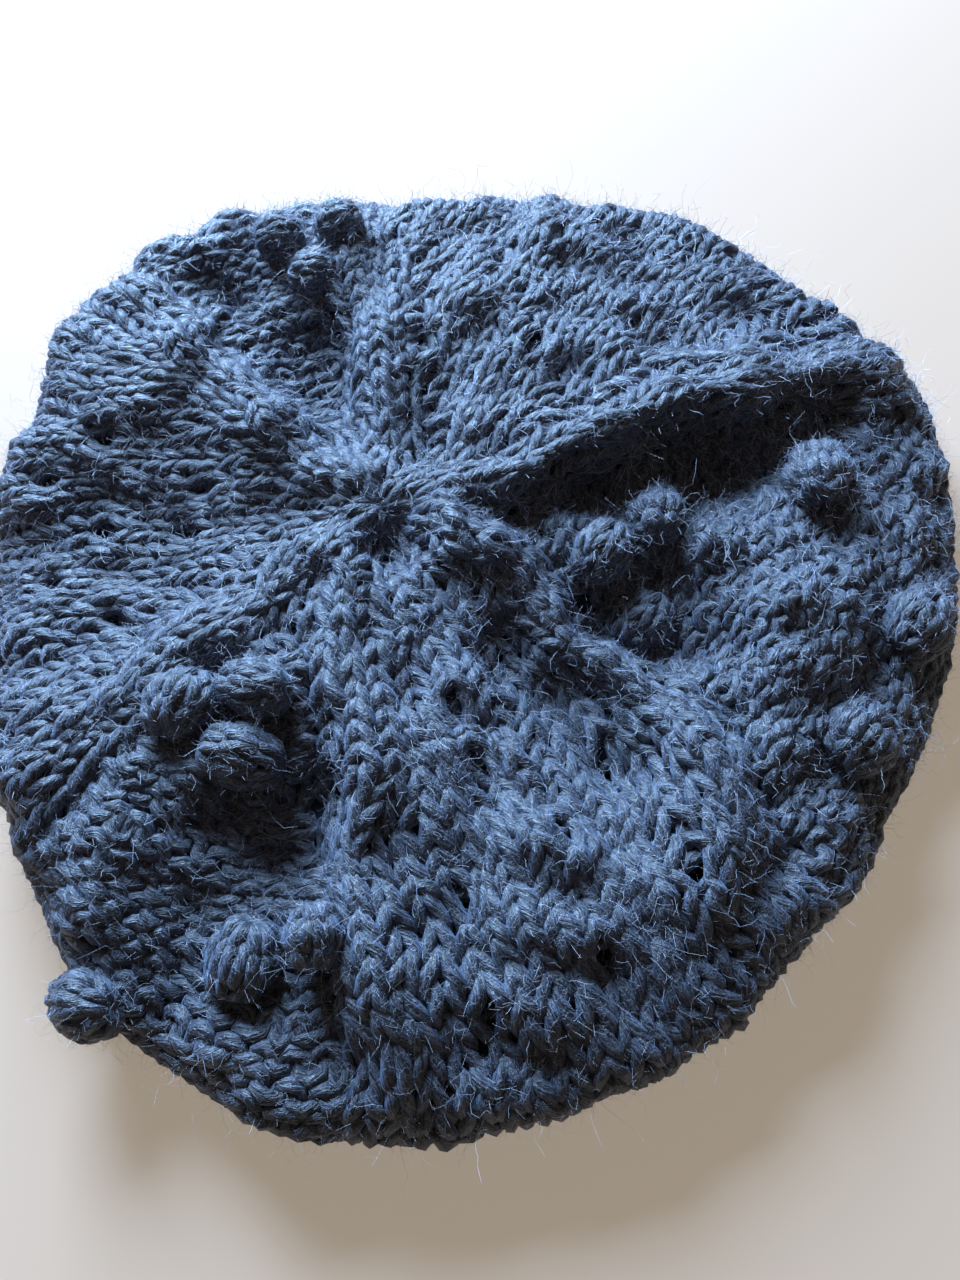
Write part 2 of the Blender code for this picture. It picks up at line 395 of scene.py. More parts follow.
@dataclass(frozen=True)
class Hole:
    """Where a lace hole has come to lie: its middle, the way out of the hat, and its radius."""

    middle: Array
    outward: Array
    radius: float
    rim_radius: float = 2.2  # in shares of its own, as the dip's is
    rim_width: float = 3.0
    rim_rise: float = 0.4
    dip_radius: float = 1.3
    dip_fall: float = 0.5
    least: float = 0.3  # a distance from the middle counts as no less
    spread: float = 3.0  # it moves no yarn that is farther off than this many reaches

    def holds(self, place: Array, margin: float, depth: float) -> bool:
        """Says whether a place is in the hole.

        Args:
            place: the place.
            margin: how far round the hole still counts.
            depth: how far below or above its middle still counts.

        Returns:
            Whether it is.
        """
        away = place - self.middle
        through = float(away @ self.outward)
        aside = np.linalg.norm(away - through * self.outward)
        return bool(aside < self.radius + margin and abs(through) < depth)

    def opened(self, points: Array, reach: float) -> Array:
        """Pushes yarn aside, into a low rim round a dip.

        Args:
            points: the yarn's points.
            reach: how far from its middle the hole pushes.

        Returns:
            The points where they come to lie.
        """
        away = points - self.middle
        flat = away - (away @ self.outward)[:, None] * self.outward
        far = np.linalg.norm(flat, axis=1, keepdims=True)
        near = np.linalg.norm(away, axis=1, keepdims=True) < self.spread * reach
        push = self.radius * np.maximum(1.0 - far / reach, 0.0)
        rim = np.exp(-(((far - self.rim_radius * self.radius) / self.rim_width) ** 2))
        dip = np.exp(-((far / (self.dip_radius * self.radius)) ** 2))
        lift = self.radius * (self.rim_rise * rim - self.dip_fall * dip) * near
        return points + flat / np.maximum(far, self.least) * push * near + lift * self.outward


@dataclass
class Round:
    """One round of the chart: its stitches in order, each between two offsets from a line.

    Lines 0 to 5 are the middles of the spokes and 6 to 11 those of the panels. An offset is
    in millimetres along the round, counter-clockwise from its line.
    """

    course: int
    line: list[int] = field(default_factory=list)
    start: list[float] = field(default_factory=list)
    end: list[float] = field(default_factory=list)
    stitch: list[Stitch] = field(default_factory=list)

    def add(self, line: int, bounds: Array, stitch: Stitch) -> None:
        """Adds stitches side by side.

        Args:
            line: the line that their offsets are counted from.
            bounds: the offsets between which they lie, one more than the stitches.
            stitch: their kind.
        """
        count = len(bounds) - 1
        self.line += [line] * count
        self.start += bounds[:-1].tolist()
        self.end += bounds[1:].tolist()
        self.stitch += [stitch] * count

    def are(self, stitch: Stitch) -> Array:
        """Which of its stitches are of a kind, one to a row."""
        return np.array([one is stitch for one in self.stitch])[:, None]


@dataclass
class StitchChart:
    """Where every stitch of the shell lies, worked round by round from the crown's centre out."""

    form: HatForm
    courses: int = 37
    even_courses: int = 8
    course_height: float = 5.7
    wale_width: float = 7.0
    panels: tuple[Panel, ...] = (
        Panel(Stitch.KNIT, (
            Eyelet(85, 103, 2.4), Eyelet(72, 96, 3.0), Eyelet(60, 107, 2.2), Eyelet(51, 120, 2.4),
            Eyelet(88, 69, 2.4), Eyelet(77, 55, 2.8), Eyelet(53, 70, 2.6), Eyelet(41, 98, 2.2),
            Eyelet(64, 84, 1.8))),
        Panel(Stitch.PURL),
        Panel(Stitch.KNIT, (
            Eyelet(164, 85, 2.8), Eyelet(183, 80, 2.8), Eyelet(183, 59, 2.4), Eyelet(169, 54, 2.2),
            Eyelet(175, 96, 2.4), Eyelet(193, 94, 2.6), Eyelet(203, 80, 2.2))),
        Panel(Stitch.PURL),
        Panel(Stitch.KNIT, (
            Eyelet(293, 62, 2.6), Eyelet(293, 81, 3.0), Eyelet(311, 93, 2.2), Eyelet(297, 104, 2.2),
            Eyelet(282, 113, 2.6), Eyelet(295, 133, 3.0), Eyelet(309, 128, 2.6), Eyelet(284, 134, 2.2))),
        Panel(Stitch.PURL),
    )
    sway_across: Ripples = Ripples((34.0, 17.0), (0.9, 0.5), 5)
    sway_along: Ripples = Ripples((30.0, 16.0), (0.9, 0.5), 6)
    sway_growth: Pair = (6.0, 26.0)  # the sway grows over this reach
    sway_end: Pair = (4.0, 30.0)  # and ends over this, counted from the band
    sway_radius: float = 8.0  # nearer the centre than this, it turns no farther
    least_reach: float = 0.4
    gauge_passes: int = 3
    eyelet_shift: float = 0.05  # how far past its course a hole opens, in courses
    rounds: list[Round] = field(default_factory=list)
    holes: list[Hole] = field(default_factory=list)

    def reach(self, course: Array, angle: Array) -> Array:
        """How far out courses run, evenly near the centre and fitted to the band's edge.

        Args:
            course: the courses' numbers, which may lie between two rounds.
            angle: plan angles.

        Returns:
            The way from the crown's centre along the face.
        """
        share = np.maximum(np.asarray(course, float) - self.even_courses, 0.0)
        share = share / (self.courses - self.even_courses)
        short = self.form.whole_reach(angle) - self.course_height * self.courses
        return np.maximum(self.course_height * course + short * share**2, self.least_reach)

    def line_angle(self, line: Array, distance: Array) -> Array:
        """Where the middles of spokes and panels lie.

        Args:
            line: spokes from 0 to 5, or panels from 6 to 11.
            distance: distances from the crown's centre.

        Returns:
            Their plan angles.
        """
        ridge = np.stack([spoke.angle(distance) for spoke in self.form.spokes])
        gap = (np.roll(ridge, -1, axis=0) - ridge) % WHOLE_TURN
        every = np.concatenate([ridge, ridge + 0.5 * gap])
        return np.take_along_axis(every, np.asarray(line)[None], axis=0)[0]

    def gauge(self, course: Array, line: Array) -> Array:
        """Where a course's stitches have the width that the chart gives them.

        Args:
            course: the courses' numbers.
            line: the lines they are on.

        Returns:
            Distances from the crown's centre.
        """
        course = np.asarray(course, float)
        distance = self.course_height * course
        for _ in range(self.gauge_passes):
            angle = self.line_angle(line, distance)
            distance = np.minimum(self.reach(course, angle), self.form.edge(angle))
        return np.maximum(distance, 1.0)

    def work(self) -> None:
        """Works the chart: lays out every round and opens the lace holes."""
        self.rounds = [self.lay_round(course) for course in range(1, self.courses + 1)]
        for number, panel in enumerate(self.panels):
            for eyelet in panel.eyelets:
                self.open_eyelet(SPOKES + number, eyelet)

    def lay_round(self, course: int) -> Round:
        """Shares a round out among the spokes and panels, with no holes in it yet.

        Args:
            course: the round's number, counted from the crown's centre.

        Returns:
            The round.
        """
        laid = Round(course)
        lines = np.arange(2 * SPOKES)
        spoke, panel = lines[:SPOKES], lines[SPOKES:]
        following = (spoke + 1) % SPOKES
        radius = self.gauge(np.full(len(lines), course), lines)
        angle = self.line_angle(lines, radius)
        half = np.radians(turn_between(angle[panel], angle[spoke]))
        rest = np.radians(turn_between(angle[following], angle[panel]))
        width = np.array([spoke.half_wales for spoke in self.form.spokes]) * self.wale_width
        width = width / radius[spoke]
        # Where a panel is too narrow for a stitch of its own, its two spokes fill it.
        near, far = np.minimum(width, half), np.minimum(width[following], rest)
        room = np.minimum(half - near, rest - far) * radius[panel]
        columns = (room / self.wale_width + 0.5).astype(int)
        ahead = np.where(columns > 0, near, half)
        behind = np.where(columns > 0, far, rest)
        for i in spoke:
            low, high = -behind[i - 1] * radius[i], ahead[i] * radius[i]
            count = max(1, round((high - low) / self.wale_width))
            laid.add(i, np.linspace(low, high, count + 1), Stitch.KNIT)
            if columns[i]:
                bounds = np.arange(-columns[i], columns[i] + 1) * self.wale_width
                bounds[0] = -(half[i] - ahead[i]) * radius[panel[i]]
                bounds[-1] = (rest[i] - behind[i]) * radius[panel[i]]
                laid.add(panel[i], bounds, self.panels[i].ground)
        return laid

    def open_eyelet(self, line: int, eyelet: Eyelet) -> None:
        """Makes a yarn-over of the stitch nearest to an eyelet's place.

        Args:
            line: the line of the eyelet's panel.
            eyelet: the eyelet.
        """
        courses = np.arange(1, self.courses + 1)
        reach = self.reach(courses, np.full(len(courses), float(eyelet.angle)))
        laid = self.rounds[int(np.argmin(np.abs(reach - eyelet.distance)))]
        cells = [i for i, at in enumerate(laid.line) if at == line]
        radius = self.gauge(np.array([laid.course]), np.array([line]))[0]
        middle = self.line_angle(np.array([line]), np.array([radius]))[0]
        offset = math.radians(turn_between(eyelet.angle, middle)) * radius
        cell = min(cells, key=lambda i: abs(0.5 * (laid.start[i] + laid.end[i]) - offset))
        laid.stitch[cell] = Stitch.EYELET
        at = np.array([math.degrees(0.5 * (laid.start[cell] + laid.end[cell]) / radius) + middle])
        at, reach = self.swayed(at, self.reach(laid.course + self.eyelet_shift, at))
        middle = self.form.place(at, reach, np.zeros(1))[0]
        self.holes.append(Hole(middle, self.form.normal(at, reach)[0], eyelet.radius))

    def swayed(self, angle: Array, reach: Array) -> tuple[Array, Array]:
        """Moves places along the face as an uneven hand does, least at the centre and the band.

        Args:
            angle: plan angles.
            reach: the way from the crown's centre along the face.

        Returns:
            The angles and reaches that they come to.
        """
        even = self.form.face(angle, reach)
        held = smooth_step(*self.sway_growth, reach)
        held = held * smooth_step(*self.sway_end, self.form.whole_reach(angle) - reach)
        out = np.maximum(np.minimum(reach, self.form.edge(angle)), self.sway_radius)
        turn = np.degrees(self.sway_across.at(even) * held / out)
        return angle + turn, reach + self.sway_along.at(even) * held


@dataclass(frozen=True)
class YarnPath:
    """How the yarn runs through a stitch, and how unevenly a hand works it."""

    steps: int = 12
    overhang: float = 0.27  # share of the wale's width that a loop swells past its foot
    hole_overhang: float = -0.05
    rise: float = 0.88  # half the loop's height, in courses
    stand: float = 1.15  # how far a leg stands before or behind the middle of the wall
    ease: float = 0.16  # share of a stitch over which its stand meets its neighbour's
    thickness: float = 2.0  # half the yarn's thickness
    plumpness: float = 0.07
    unevenness: float = 0.07
    loose_share: float = 0.04  # of all stitches
    loose_rise: float = 0.15
    loose_stand: float = 0.6
    hole_reach: float = 9.5
    rest_softness: float = 0.4  # how gently the yarn flattens on what it lies on
    widening: Pair = (14.0, 36.0)  # stitches nearer the centre keep one width from head to foot

    def round_points(self, chart: StitchChart, laid: Round,
                     dice: np.random.Generator) -> tuple[Array, Array]:
        """The yarn of one round, as a closed path.

        Args:
            chart: the chart that the round belongs to.
            laid: the round.
            dice: the hand's unevenness.

        Returns:
            Its points, and half the yarn's thickness at each.
        """
        count = len(laid.line)
        share = np.arange(self.steps + 1) / self.steps
        loose = (dice.random(count) < self.loose_share)[:, None]
        uneven = dice.normal(0.0, self.unevenness, (4, count, 1))
        angle, reach = self.along_face(chart, laid, share, uneven, loose)
        stand = self.stand * (1.0 + uneven[3] + self.loose_stand * loose)
        stand = np.where(laid.are(Stitch.PURL), 1.0, -1.0) * stand
        stand = self.eased(stand * np.cos(2.0 * TAU * share)[None], share)
        points = chart.form.place(angle, reach, (0.5 * chart.form.wall - stand).ravel())
        points = points.reshape(count, self.steps + 1, 3)
        # A stitch begins where the one before it ends.
        joined = points[:, :-1].copy()
        joined[:, 0] = 0.5 * (points[:, 0] + np.roll(points[:, -1], 1, axis=0))
        joined = joined.reshape(-1, 3)
        for hole in chart.holes:
            joined = hole.opened(joined, self.hole_reach)
        plump = self.plumpness * dice.normal(0.0, 1.0, (count, 1)) + self.loose_rise * loose
        thickness = (self.thickness * (1.0 + plump * np.sin(0.5 * TAU * share[:-1]))).ravel()
        # Nothing comes through the floor.
        over = (joined[:, 2] - thickness) / self.rest_softness
        joined[:, 2] = thickness + self.rest_softness * np.logaddexp(0.0, over)
        return joined, thickness

    def along_face(self, chart: StitchChart, laid: Round, share: Array, uneven: Array,
                   loose: Array) -> tuple[Array, Array]:
        """Runs the yarn of a round up and down its loops.

        Args:
            chart: the chart that the round belongs to.
            laid: the round.
            share: the share of a stitch at each of its points.
            uneven: the hand's unevenness, one stitch to a row: of overhang, rise and course.
            loose: which stitches are loose.

        Returns:
            The yarn's plan angles, and the way from the crown's centre along the face.
        """
        overhang = self.overhang + 0.5 * uneven[0]
        overhang = np.where(laid.are(Stitch.EYELET), self.hole_overhang, overhang)
        across = share[None] + overhang * np.sin(2.0 * TAU * share)[None]
        rise = self.rise * (1.0 + uneven[1] + self.loose_rise * loose)
        course = laid.course + uneven[2] * np.sin(0.5 * TAU * share)[None] ** 2
        course = course - rise * np.cos(TAU * share)[None]
        course[:, 0] = course[:, -1] = laid.course - self.rise
        start, end = np.array(laid.start)[:, None], np.array(laid.end)[:, None]
        angle = self.plan_angle(chart, laid, course, start + across * (end - start))
        return chart.swayed(angle.ravel(), chart.reach(course, angle).ravel())

    def eased(self, stand: Array, share: Array) -> Array:
        """Brings the ends of neighbouring stitches to one stand.

        Args:
            stand: how far before the wall's middle the yarn is, one stitch to a row.
            share: the share of the stitch at each of a row's points.

        Returns:
            The stands, which now meet.
        """
        join = 0.5 * (stand[:, 0] + np.roll(stand[:, -1], 1))
        ease = smooth_step(self.ease, 0.0, share)[None]
        stand = stand + ease * (join - stand[:, 0])[:, None]
        return stand + ease[:, ::-1] * (np.roll(join, -1) - stand[:, -1])[:, None]

    def plan_angle(self, chart: StitchChart, laid: Round, course: Array, offset: Array) -> Array:
        """Where points of stitches lie round the crown's centre.

        Args:
            chart: the chart.
            laid: the round that they belong to.
            course: how far out each point is, in courses, one stitch to a row.
            offset: how far each is from its line.

        Returns:
            Their plan angles.
        """
        line = np.array(laid.line)
        own = chart.gauge(np.full(len(line), laid.course), line)[:, None]
        lines = np.repeat(line, course.shape[1])
        radius = chart.gauge(course.ravel(), lines).reshape(course.shape)
        radius = own + (radius - own) * smooth_step(*self.widening, own)
        angle = chart.line_angle(lines, radius.ravel()).reshape(course.shape)
        return angle + np.degrees(offset / radius)


@dataclass(frozen=True)
class Bench:
    """A node tree on the bench, being filled with nodes."""

    tree: NodeTree

    def fill(self, node: Node, inputs: dict) -> None:
        """Gives a node's sockets what goes in.

        Args:
            node: the node.
            inputs: a plain value or a Signal each, by the socket's name or number.
        """
        for name, value in inputs.items():
            if isinstance(value, Signal):
                self.tree.links.new(value.socket, node.inputs[name])
            else:
                node.inputs[name].default_value = value

    def node(self, kind: str, inputs: dict | None = None, **settings: object) -> Node:
        """Adds a node.

        Args:
            kind: the node's type.
            inputs: what fill() takes.
            settings: the node's own settings, which are set first.

        Returns:
            The node.
        """
        made = self.tree.nodes.new(kind)
        for name, value in settings.items():
            setattr(made, name, value)
        self.fill(made, inputs or {})
        return made

    def shader(self, kind: str, inputs: dict | None = None, output: str | int = 0,
               **settings: object) -> Signal:
        """Adds a shader node as node() does, and gives one of its outputs as a Signal."""
        return Signal(self, self.node(f"ShaderNode{kind}", inputs, **settings).outputs[output])

    def shape(self, kind: str, inputs: dict | None = None, output: str | int = 0,
              **settings: object) -> Signal:
        """Adds a geometry node as node() does, and gives one of its outputs as a Signal."""
        return Signal(self, self.node(f"GeometryNode{kind}", inputs, **settings).outputs[output])

    def chance(self, kind: str, seed: Signal, low: object, high: object) -> Signal:
        """A random number or vector for each point.

        Args:
            kind: FLOAT or FLOAT_VECTOR.
            seed: fixes the draw.
            low: the least, in each direction for a vector.
            high: the most.

        Returns:
            The draw.
        """
        first = 2 if kind == "FLOAT" else 0
        inputs = {first: low, first + 1: high, "Seed": seed}
        made = self.node("FunctionNodeRandomValue", inputs, data_type=kind)
        return Signal(self, made.outputs[first // 2])

    def mix_colour(self, share: Signal, low: Signal | Triple, high: Signal | Triple) -> Signal:
        """A colour between two, low where the share is 0."""
        low, high = (part if isinstance(part, Signal) else (*part, 1.0) for part in (low, high))
        return self.shader("Mix", {0: share, 6: low, 7: high}, 2, data_type="RGBA")

    def vector_maths(self, operation: str, *vectors: Signal | Triple, output: str = "Vector") -> Signal:
        """What a Vector Math node makes of these vectors."""
        return self.shader("VectorMath", dict(enumerate(vectors)), output, operation=operation)

    def scaled(self, vector: Signal, size: Signal | float) -> Signal:
        """A vector made longer or shorter."""
        return self.shader("VectorMath", {0: vector, "Scale": size}, operation="SCALE")

    def dot(self, first: Signal, second: Signal) -> Signal:
        """How far two vectors point the same way."""
        return self.vector_maths("DOT_PRODUCT", first, second, output="Value")

    def joined(self, x: Signal, y: Signal, z: Signal | float) -> Signal:
        """A vector of three numbers."""
        return self.shader("CombineXYZ", {0: x, 1: y, 2: z})

    def parts(self, vector: Signal) -> list[Signal]:
        """The three numbers of a vector."""
        split = self.node("ShaderNodeSeparateXYZ", {0: vector})
        return [Signal(self, output) for output in split.outputs]


def maths_node(operation: str, swapped: bool = False) -> Callable[..., Signal]:
    """Makes one of a Signal's methods.

    Args:
        operation: the operation of the Math node that the method adds.
        swapped: whether the other number comes before the Signal's own.

    Returns:
        The method.
    """

    def method(self: Signal, *others: Signal | float) -> Signal:
        """Adds the node and gives its result."""
        numbers = (*others, self) if swapped else (self, *others)
        return self.bench.shader("Math", dict(enumerate(numbers)), operation=operation)

    return method


@dataclass(frozen=True)
class Signal:
    """A number on its way through a node tree; the usual operators add Math nodes."""

    bench: Bench
    socket: NodeSocket

    __add__ = maths_node("ADD")
    __radd__ = maths_node("ADD", swapped=True)
    __sub__ = maths_node("SUBTRACT")
    __rsub__ = maths_node("SUBTRACT", swapped=True)
    __mul__ = maths_node("MULTIPLY")
    __rmul__ = maths_node("MULTIPLY", swapped=True)
    __truediv__ = maths_node("DIVIDE")
    __rtruediv__ = maths_node("DIVIDE", swapped=True)
    __lt__ = maths_node("LESS_THAN")
    __gt__ = maths_node("GREATER_THAN")
    __abs__ = maths_node("ABSOLUTE")
    sine = maths_node("SINE")
    cosine = maths_node("COSINE")
    rounded = maths_node("ROUND")
    at_least = maths_node("MAXIMUM")

    def clamped(self) -> Signal:
        """Kept between 0 and 1."""
        return self.bench.shader("Clamp", {0: self})


def new_material(name: str, paint: Callable[[Bench], dict]) -> Material:
    """Makes a material.

    Args:
        name: its name.
        paint: adds nodes to the bench that it is given, and says what goes into the shader.

    Returns:
        The material.
    """
    made = bpy.data.materials.new(name)
    made.use_nodes = True
    bench = Bench(made.node_tree)
    bench.fill(made.node_tree.nodes["Principled BSDF"], paint(bench))
    return made


@dataclass(frozen=True, kw_only=True)
class SoftFinish:
    """What every wool finish here has in common: a rough face with a cool sheen."""

    name: str
    roughness: float
    gloss: float
    sheen: float
    sheen_tint: Triple
    sheen_roughness: float = 0.45

    def material(self) -> Material:
        """Builds the material, with the finish's own colour and relief.

        Returns:
            The material.
        """
        even = {
            "Roughness": self.roughness, "Specular IOR Level": self.gloss, "Metallic": 0.0,
            "Sheen Weight": self.sheen, "Sheen Roughness": self.sheen_roughness,
            "Sheen Tint": (*self.sheen_tint, 1.0),
        }
        return new_material(self.name, lambda bench: even | self.paint(bench))

    def paint(self, bench: Bench) -> dict:
        """What differs over the face, for the shader's sockets."""
        raise NotImplementedError


@dataclass(frozen=True)
class Grain:
    """A noise over the yarn: how fine it is round the yarn and along it, and its detail."""

    round_it: float
    along_it: float
    shift: float  # tells one noise from another
    detail: float
    light: float = 0.0  # how much it lightens the yarn
    rise: float = 0.0  # how much it raises the yarn's face


@dataclass(frozen=True, kw_only=True)
class WoolFinish(SoftFinish):
    """Loosely spun wool: fine strands twisted along the yarn, light on dark, and curled hairs."""

    shade: Triple = (0.003, 0.0028, 0.0028)
    strand: Triple = (0.098, 0.1, 0.13)
    hair: Triple = (0.21, 0.21, 0.265)
    twist: float = 1.0  # turns of the plies in one repeat of the pattern
    plies: int = 3
    strands: Grain = Grain(3.2, 1.0, 0.0, 2.0, 0.75, 0.9)
    wisps: Grain = Grain(7.04, 2.5, 7.0, 1.0, 0.6, 0.4)
    patches: Grain = Grain(0.5, 1.3, 3.0, 1.0, 1.8)
    patch_shade: float = 0.1  # the least that a patch is lit
    # painted shade: how much darker the yarn is in the grooves between its plies
    ply_groove_shade: float = 0.5
    ply_rise: float = 0.4
    hairs: tuple[Grain, ...] = (Grain(1.3, 2.6, 11.0, 0.6), Grain(2.0, 4.0, 19.0, 0.6))
    hair_width: float = 0.04
    hair_strength: float = 0.45
    hair_rise: float = 0.3
    strand_level: float = 0.47  # a strand is light where its noise is above this
    wisp_level: float = 0.52
    crispness: float = 9.0
    relief: float = 1.0
    relief_depth: float = 0.00065
    roughness: float = 0.48
    gloss: float = 0.6
    sheen: float = 0.3
    sheen_tint: Triple = (0.45, 0.62, 0.95)

    def paint(self, bench: Bench) -> dict:
        """Paints strands, wisps and hairs on the yarn's own map: along it, and round it.

        Args:
            bench: the tree to fill.

        Returns:
            The colour and the bumped normal.
        """
        along, around, _ = bench.parts(bench.shader("UVMap", uv_map=UV_MAP))
        spiral, lap = (around + along * self.twist) * TAU, along * TAU
        ply = abs((spiral * (0.5 * self.plies)).sine())
        strands = self.looped_noise(spiral, lap, self.strands)
        wisps = self.looped_noise(spiral, lap, self.wisps)
        patches = self.looped_noise(spiral, lap, self.patches)
        hairs = self.curled_hairs(around * TAU, lap)
        lit_strands = ((strands - self.strand_level) * self.crispness).clamped()
        lit_wisps = ((wisps - self.wisp_level) * self.crispness).clamped()
        light = lit_strands * self.strands.light + lit_wisps * self.wisps.light
        # Painted shade: the yarn darkens in the grooves between its plies.
        light = light * (ply * self.ply_groove_shade + (1.0 - self.ply_groove_shade))
        light = light * (patches * self.patches.light + self.patch_shade)
        colour = bench.mix_colour(light.clamped(), self.shade, self.strand)
        height = ply * self.ply_rise + strands * self.strands.rise
        height = height + wisps * self.wisps.rise + hairs * self.hair_rise
        bump = {"Strength": self.relief, "Distance": self.relief_depth, "Height": height}
        return {"Base Color": bench.mix_colour(hairs, colour, self.hair),
                "Normal": bench.shader("Bump", bump)}

    def curled_hairs(self, around: Signal, lap: Signal) -> Signal:
        """Stray hairs that curl over the yarn: the thin level lines of soft noises.

        Args:
            around: the turn round the yarn.
            lap: the turn through one repeat of the map.

        Returns:
            How plainly a hair shows, 0 to 1.
        """
        shown = 0.0
        for grain in self.hairs:
            off_level = abs(self.looped_noise(around, lap, grain) - 0.5)
            shown = (1.0 - off_level * (1.0 / self.hair_width)).clamped() + shown
        return (shown * self.hair_strength).clamped()

    def looped_noise(self, turn: Signal, lap: Signal, grain: Grain) -> Signal:
        """Noise over the yarn, which repeats with the yarn's map.

        Args:
            turn: the turn round the yarn, which may follow the twist.
            lap: the turn through one repeat of the map.
            grain: how fine it is.

        Returns:
            The noise, about 0 to 1.
        """
        bench, fine, runs = turn.bench, grain.round_it, grain.along_it
        where = bench.joined(turn.cosine() * fine, turn.sine() * fine, lap.cosine() * runs)
        inputs = {"Vector": where, "W": lap.sine() * runs + grain.shift, "Scale": 1.0,
                  "Detail": grain.detail}
        return bench.shader("TexNoise", inputs, "Fac", noise_dimensions="4D")


@dataclass(frozen=True, kw_only=True)
class LiningFinish(SoftFinish):
    """A dark, soft mat seen only between the stitches: its darkness is painted shade for the gaps in the
    knitting.
    """

    shade: Triple = (0.006, 0.007, 0.009)
    strand: Triple = (0.02, 0.026, 0.04)
    fineness: float = 900.0
    relief: float = 0.6
    relief_depth: float = 0.001
    roughness: float = 0.95
    gloss: float = 0.1
    sheen: float = 0.25
    sheen_tint: Triple = (0.45, 0.58, 0.85)

    def paint(self, bench: Bench) -> dict:
        """Paints an even mat on the piece's own coordinates.

        Args:
            bench: the tree to fill.

        Returns:
            The colour and the bumped normal.
        """
        place = bench.shader("TexCoord", output="Object")
        mat = bench.shader("TexNoise", {"Vector": place, "Scale": self.fineness, "Detail": 4.0}, "Fac")
        bump = {"Strength": self.relief, "Distance": self.relief_depth, "Height": mat}
        return {"Base Color": bench.mix_colour(mat, self.shade, self.strand),
                "Normal": bench.shader("Bump", bump)}


@dataclass(frozen=True, kw_only=True)
class FibreFinish(SoftFinish):
    """A single loose fibre of the wool, painted much lighter than the yarn: painted light for the light
    passing through it.
    """

    colour: Triple
    root_share: float = 0.6  # how light its root is beside its tip
    roughness: float = 0.5
    gloss: float = 0.5
    sheen: float = 0.3
    sheen_tint: Triple = (0.5, 0.62, 0.85)

    def paint(self, bench: Bench) -> dict:
        """Paints the fibre a little lighter towards its tip.

        Args:
            bench: the tree to fill.

        Returns:
            The colour.
        """
        tip = bench.parts(bench.shader("UVMap", uv_map=UV_MAP))[0]
        root_colour = tuple(self.root_share * part for part in self.colour)
        return {"Base Color": bench.mix_colour(tip, root_colour, self.colour)}


@dataclass(frozen=True)
class Tree:
    """A Geometry Nodes tree with its inputs and the nodes that read them."""

    bench: Bench
    start: Node
    end: Node

    @classmethod
    def new(cls, name: str, number: str) -> Tree:
        """Makes an empty tree.

        Args:
            name: the tree's name.
            number: its input of a whole number, besides the geometry and the material.

        Returns:
            The tree.
        """
        made = bpy.data.node_groups.new(name, "GeometryNodeTree")
        kinds = {"Geometry": "NodeSocketGeometry", number: "NodeSocketInt",
                 "Material": "NodeSocketMaterial"}
        for label, kind in kinds.items():
            made.interface.new_socket(label, in_out="INPUT", socket_type=kind)
        made.interface.new_socket("Geometry", in_out="OUTPUT", socket_type=kinds["Geometry"])
        bench = Bench(made)
        return cls(bench, bench.node("NodeGroupInput"), bench.node("NodeGroupOutput"))

    def input(self, name: str) -> Signal:
        """One of the tree's own inputs."""
        return Signal(self.bench, self.start.outputs[name])

    def finish(self, geometry: Signal) -> None:
        """Ends the tree: smooth real faces, in the tree's material.

        Args:
            geometry: what the tree has made.
        """
        smooth = self.bench.shape("SetShadeSmooth", {0: geometry})
        real = self.bench.shape("RealizeInstances", {0: smooth})
        inputs = {"Geometry": real, "Material": self.input("Material")}
        self.bench.fill(self.end, {"Geometry": self.bench.shape("SetMaterial", inputs)})

    def named(self, name: str, kind: str = "FLOAT") -> Signal:
        """A named attribute of the geometry."""
        return self.bench.shape("InputNamedAttribute", {"Name": name}, "Attribute", data_type=kind)

    def stored(self, geometry: Signal, name: str, value: Signal, **settings: str) -> Signal:
        """The geometry with this value, at each point unless set, as a named attribute."""
        inputs = {"Geometry": geometry, "Name": name, "Value": value}
        return self.bench.shape("StoreNamedAttribute", inputs, **settings)

    def mapped(self, geometry: Signal, along: Signal, across: Signal) -> Signal:
        """The geometry with its map: a number along it, and one round it or across it."""
        place = self.bench.joined(along, across, 0.0)
        return self.stored(geometry, UV_MAP, place, data_type="FLOAT2", domain="CORNER")

    def run(self, thing: Object, values: dict, spent: tuple[str, ...]) -> None:
        """Runs the tree on an object and leaves the result as its plain mesh.

        Args:
            thing: the object, whose own mesh goes in.
            values: a value for each named input.
            spent: the attributes that aren't needed any more.
        """
        modifier = thing.modifiers.new("made", "NODES")
        modifier.node_group = self.bench.tree
        for item in self.bench.tree.interface.items_tree:
            if item.in_out == "INPUT" and item.name in values:
                modifier[item.identifier] = values[item.name]
        settle(thing)
        for name in spent:
            if name in thing.data.attributes:
                thing.data.attributes.remove(thing.data.attributes[name])


def settle(thing: Object) -> None:
    """Turns an object's modifiers into its plain mesh.

    Args:
        thing: the object.
    """
    bpy.context.view_layer.update()
    graph = bpy.context.evaluated_depsgraph_get()
    mesh = bpy.data.meshes.new_from_object(thing.evaluated_get(graph))
    thing.modifiers.clear()
    old, thing.data = thing.data, mesh
    mesh.name = thing.name
    bpy.data.meshes.remove(old)


def new_thing(name: str, data: bpy.types.ID) -> Object:
    """Makes an object and links it to the scene.

    Args:
        name: its name.
        data: its mesh, light or camera.

    Returns:
        The object.
    """
    thing = bpy.data.objects.new(name, data)
    bpy.context.scene.collection.objects.link(thing)
    return thing


def new_mesh(name: str, points: Array, edges: Array | list, faces: Array | list) -> Mesh:
    """Makes a mesh.

    Args:
        name: its name.
        points: its points in metres.
        edges: pairs of points that are joined, where there are no faces.
        faces: the points of each face.

    Returns:
        The mesh.
    """
    made = bpy.data.meshes.new(name)
    made.from_pydata(np.asarray(points).tolist(), np.asarray(edges).tolist(), faces)
    return made


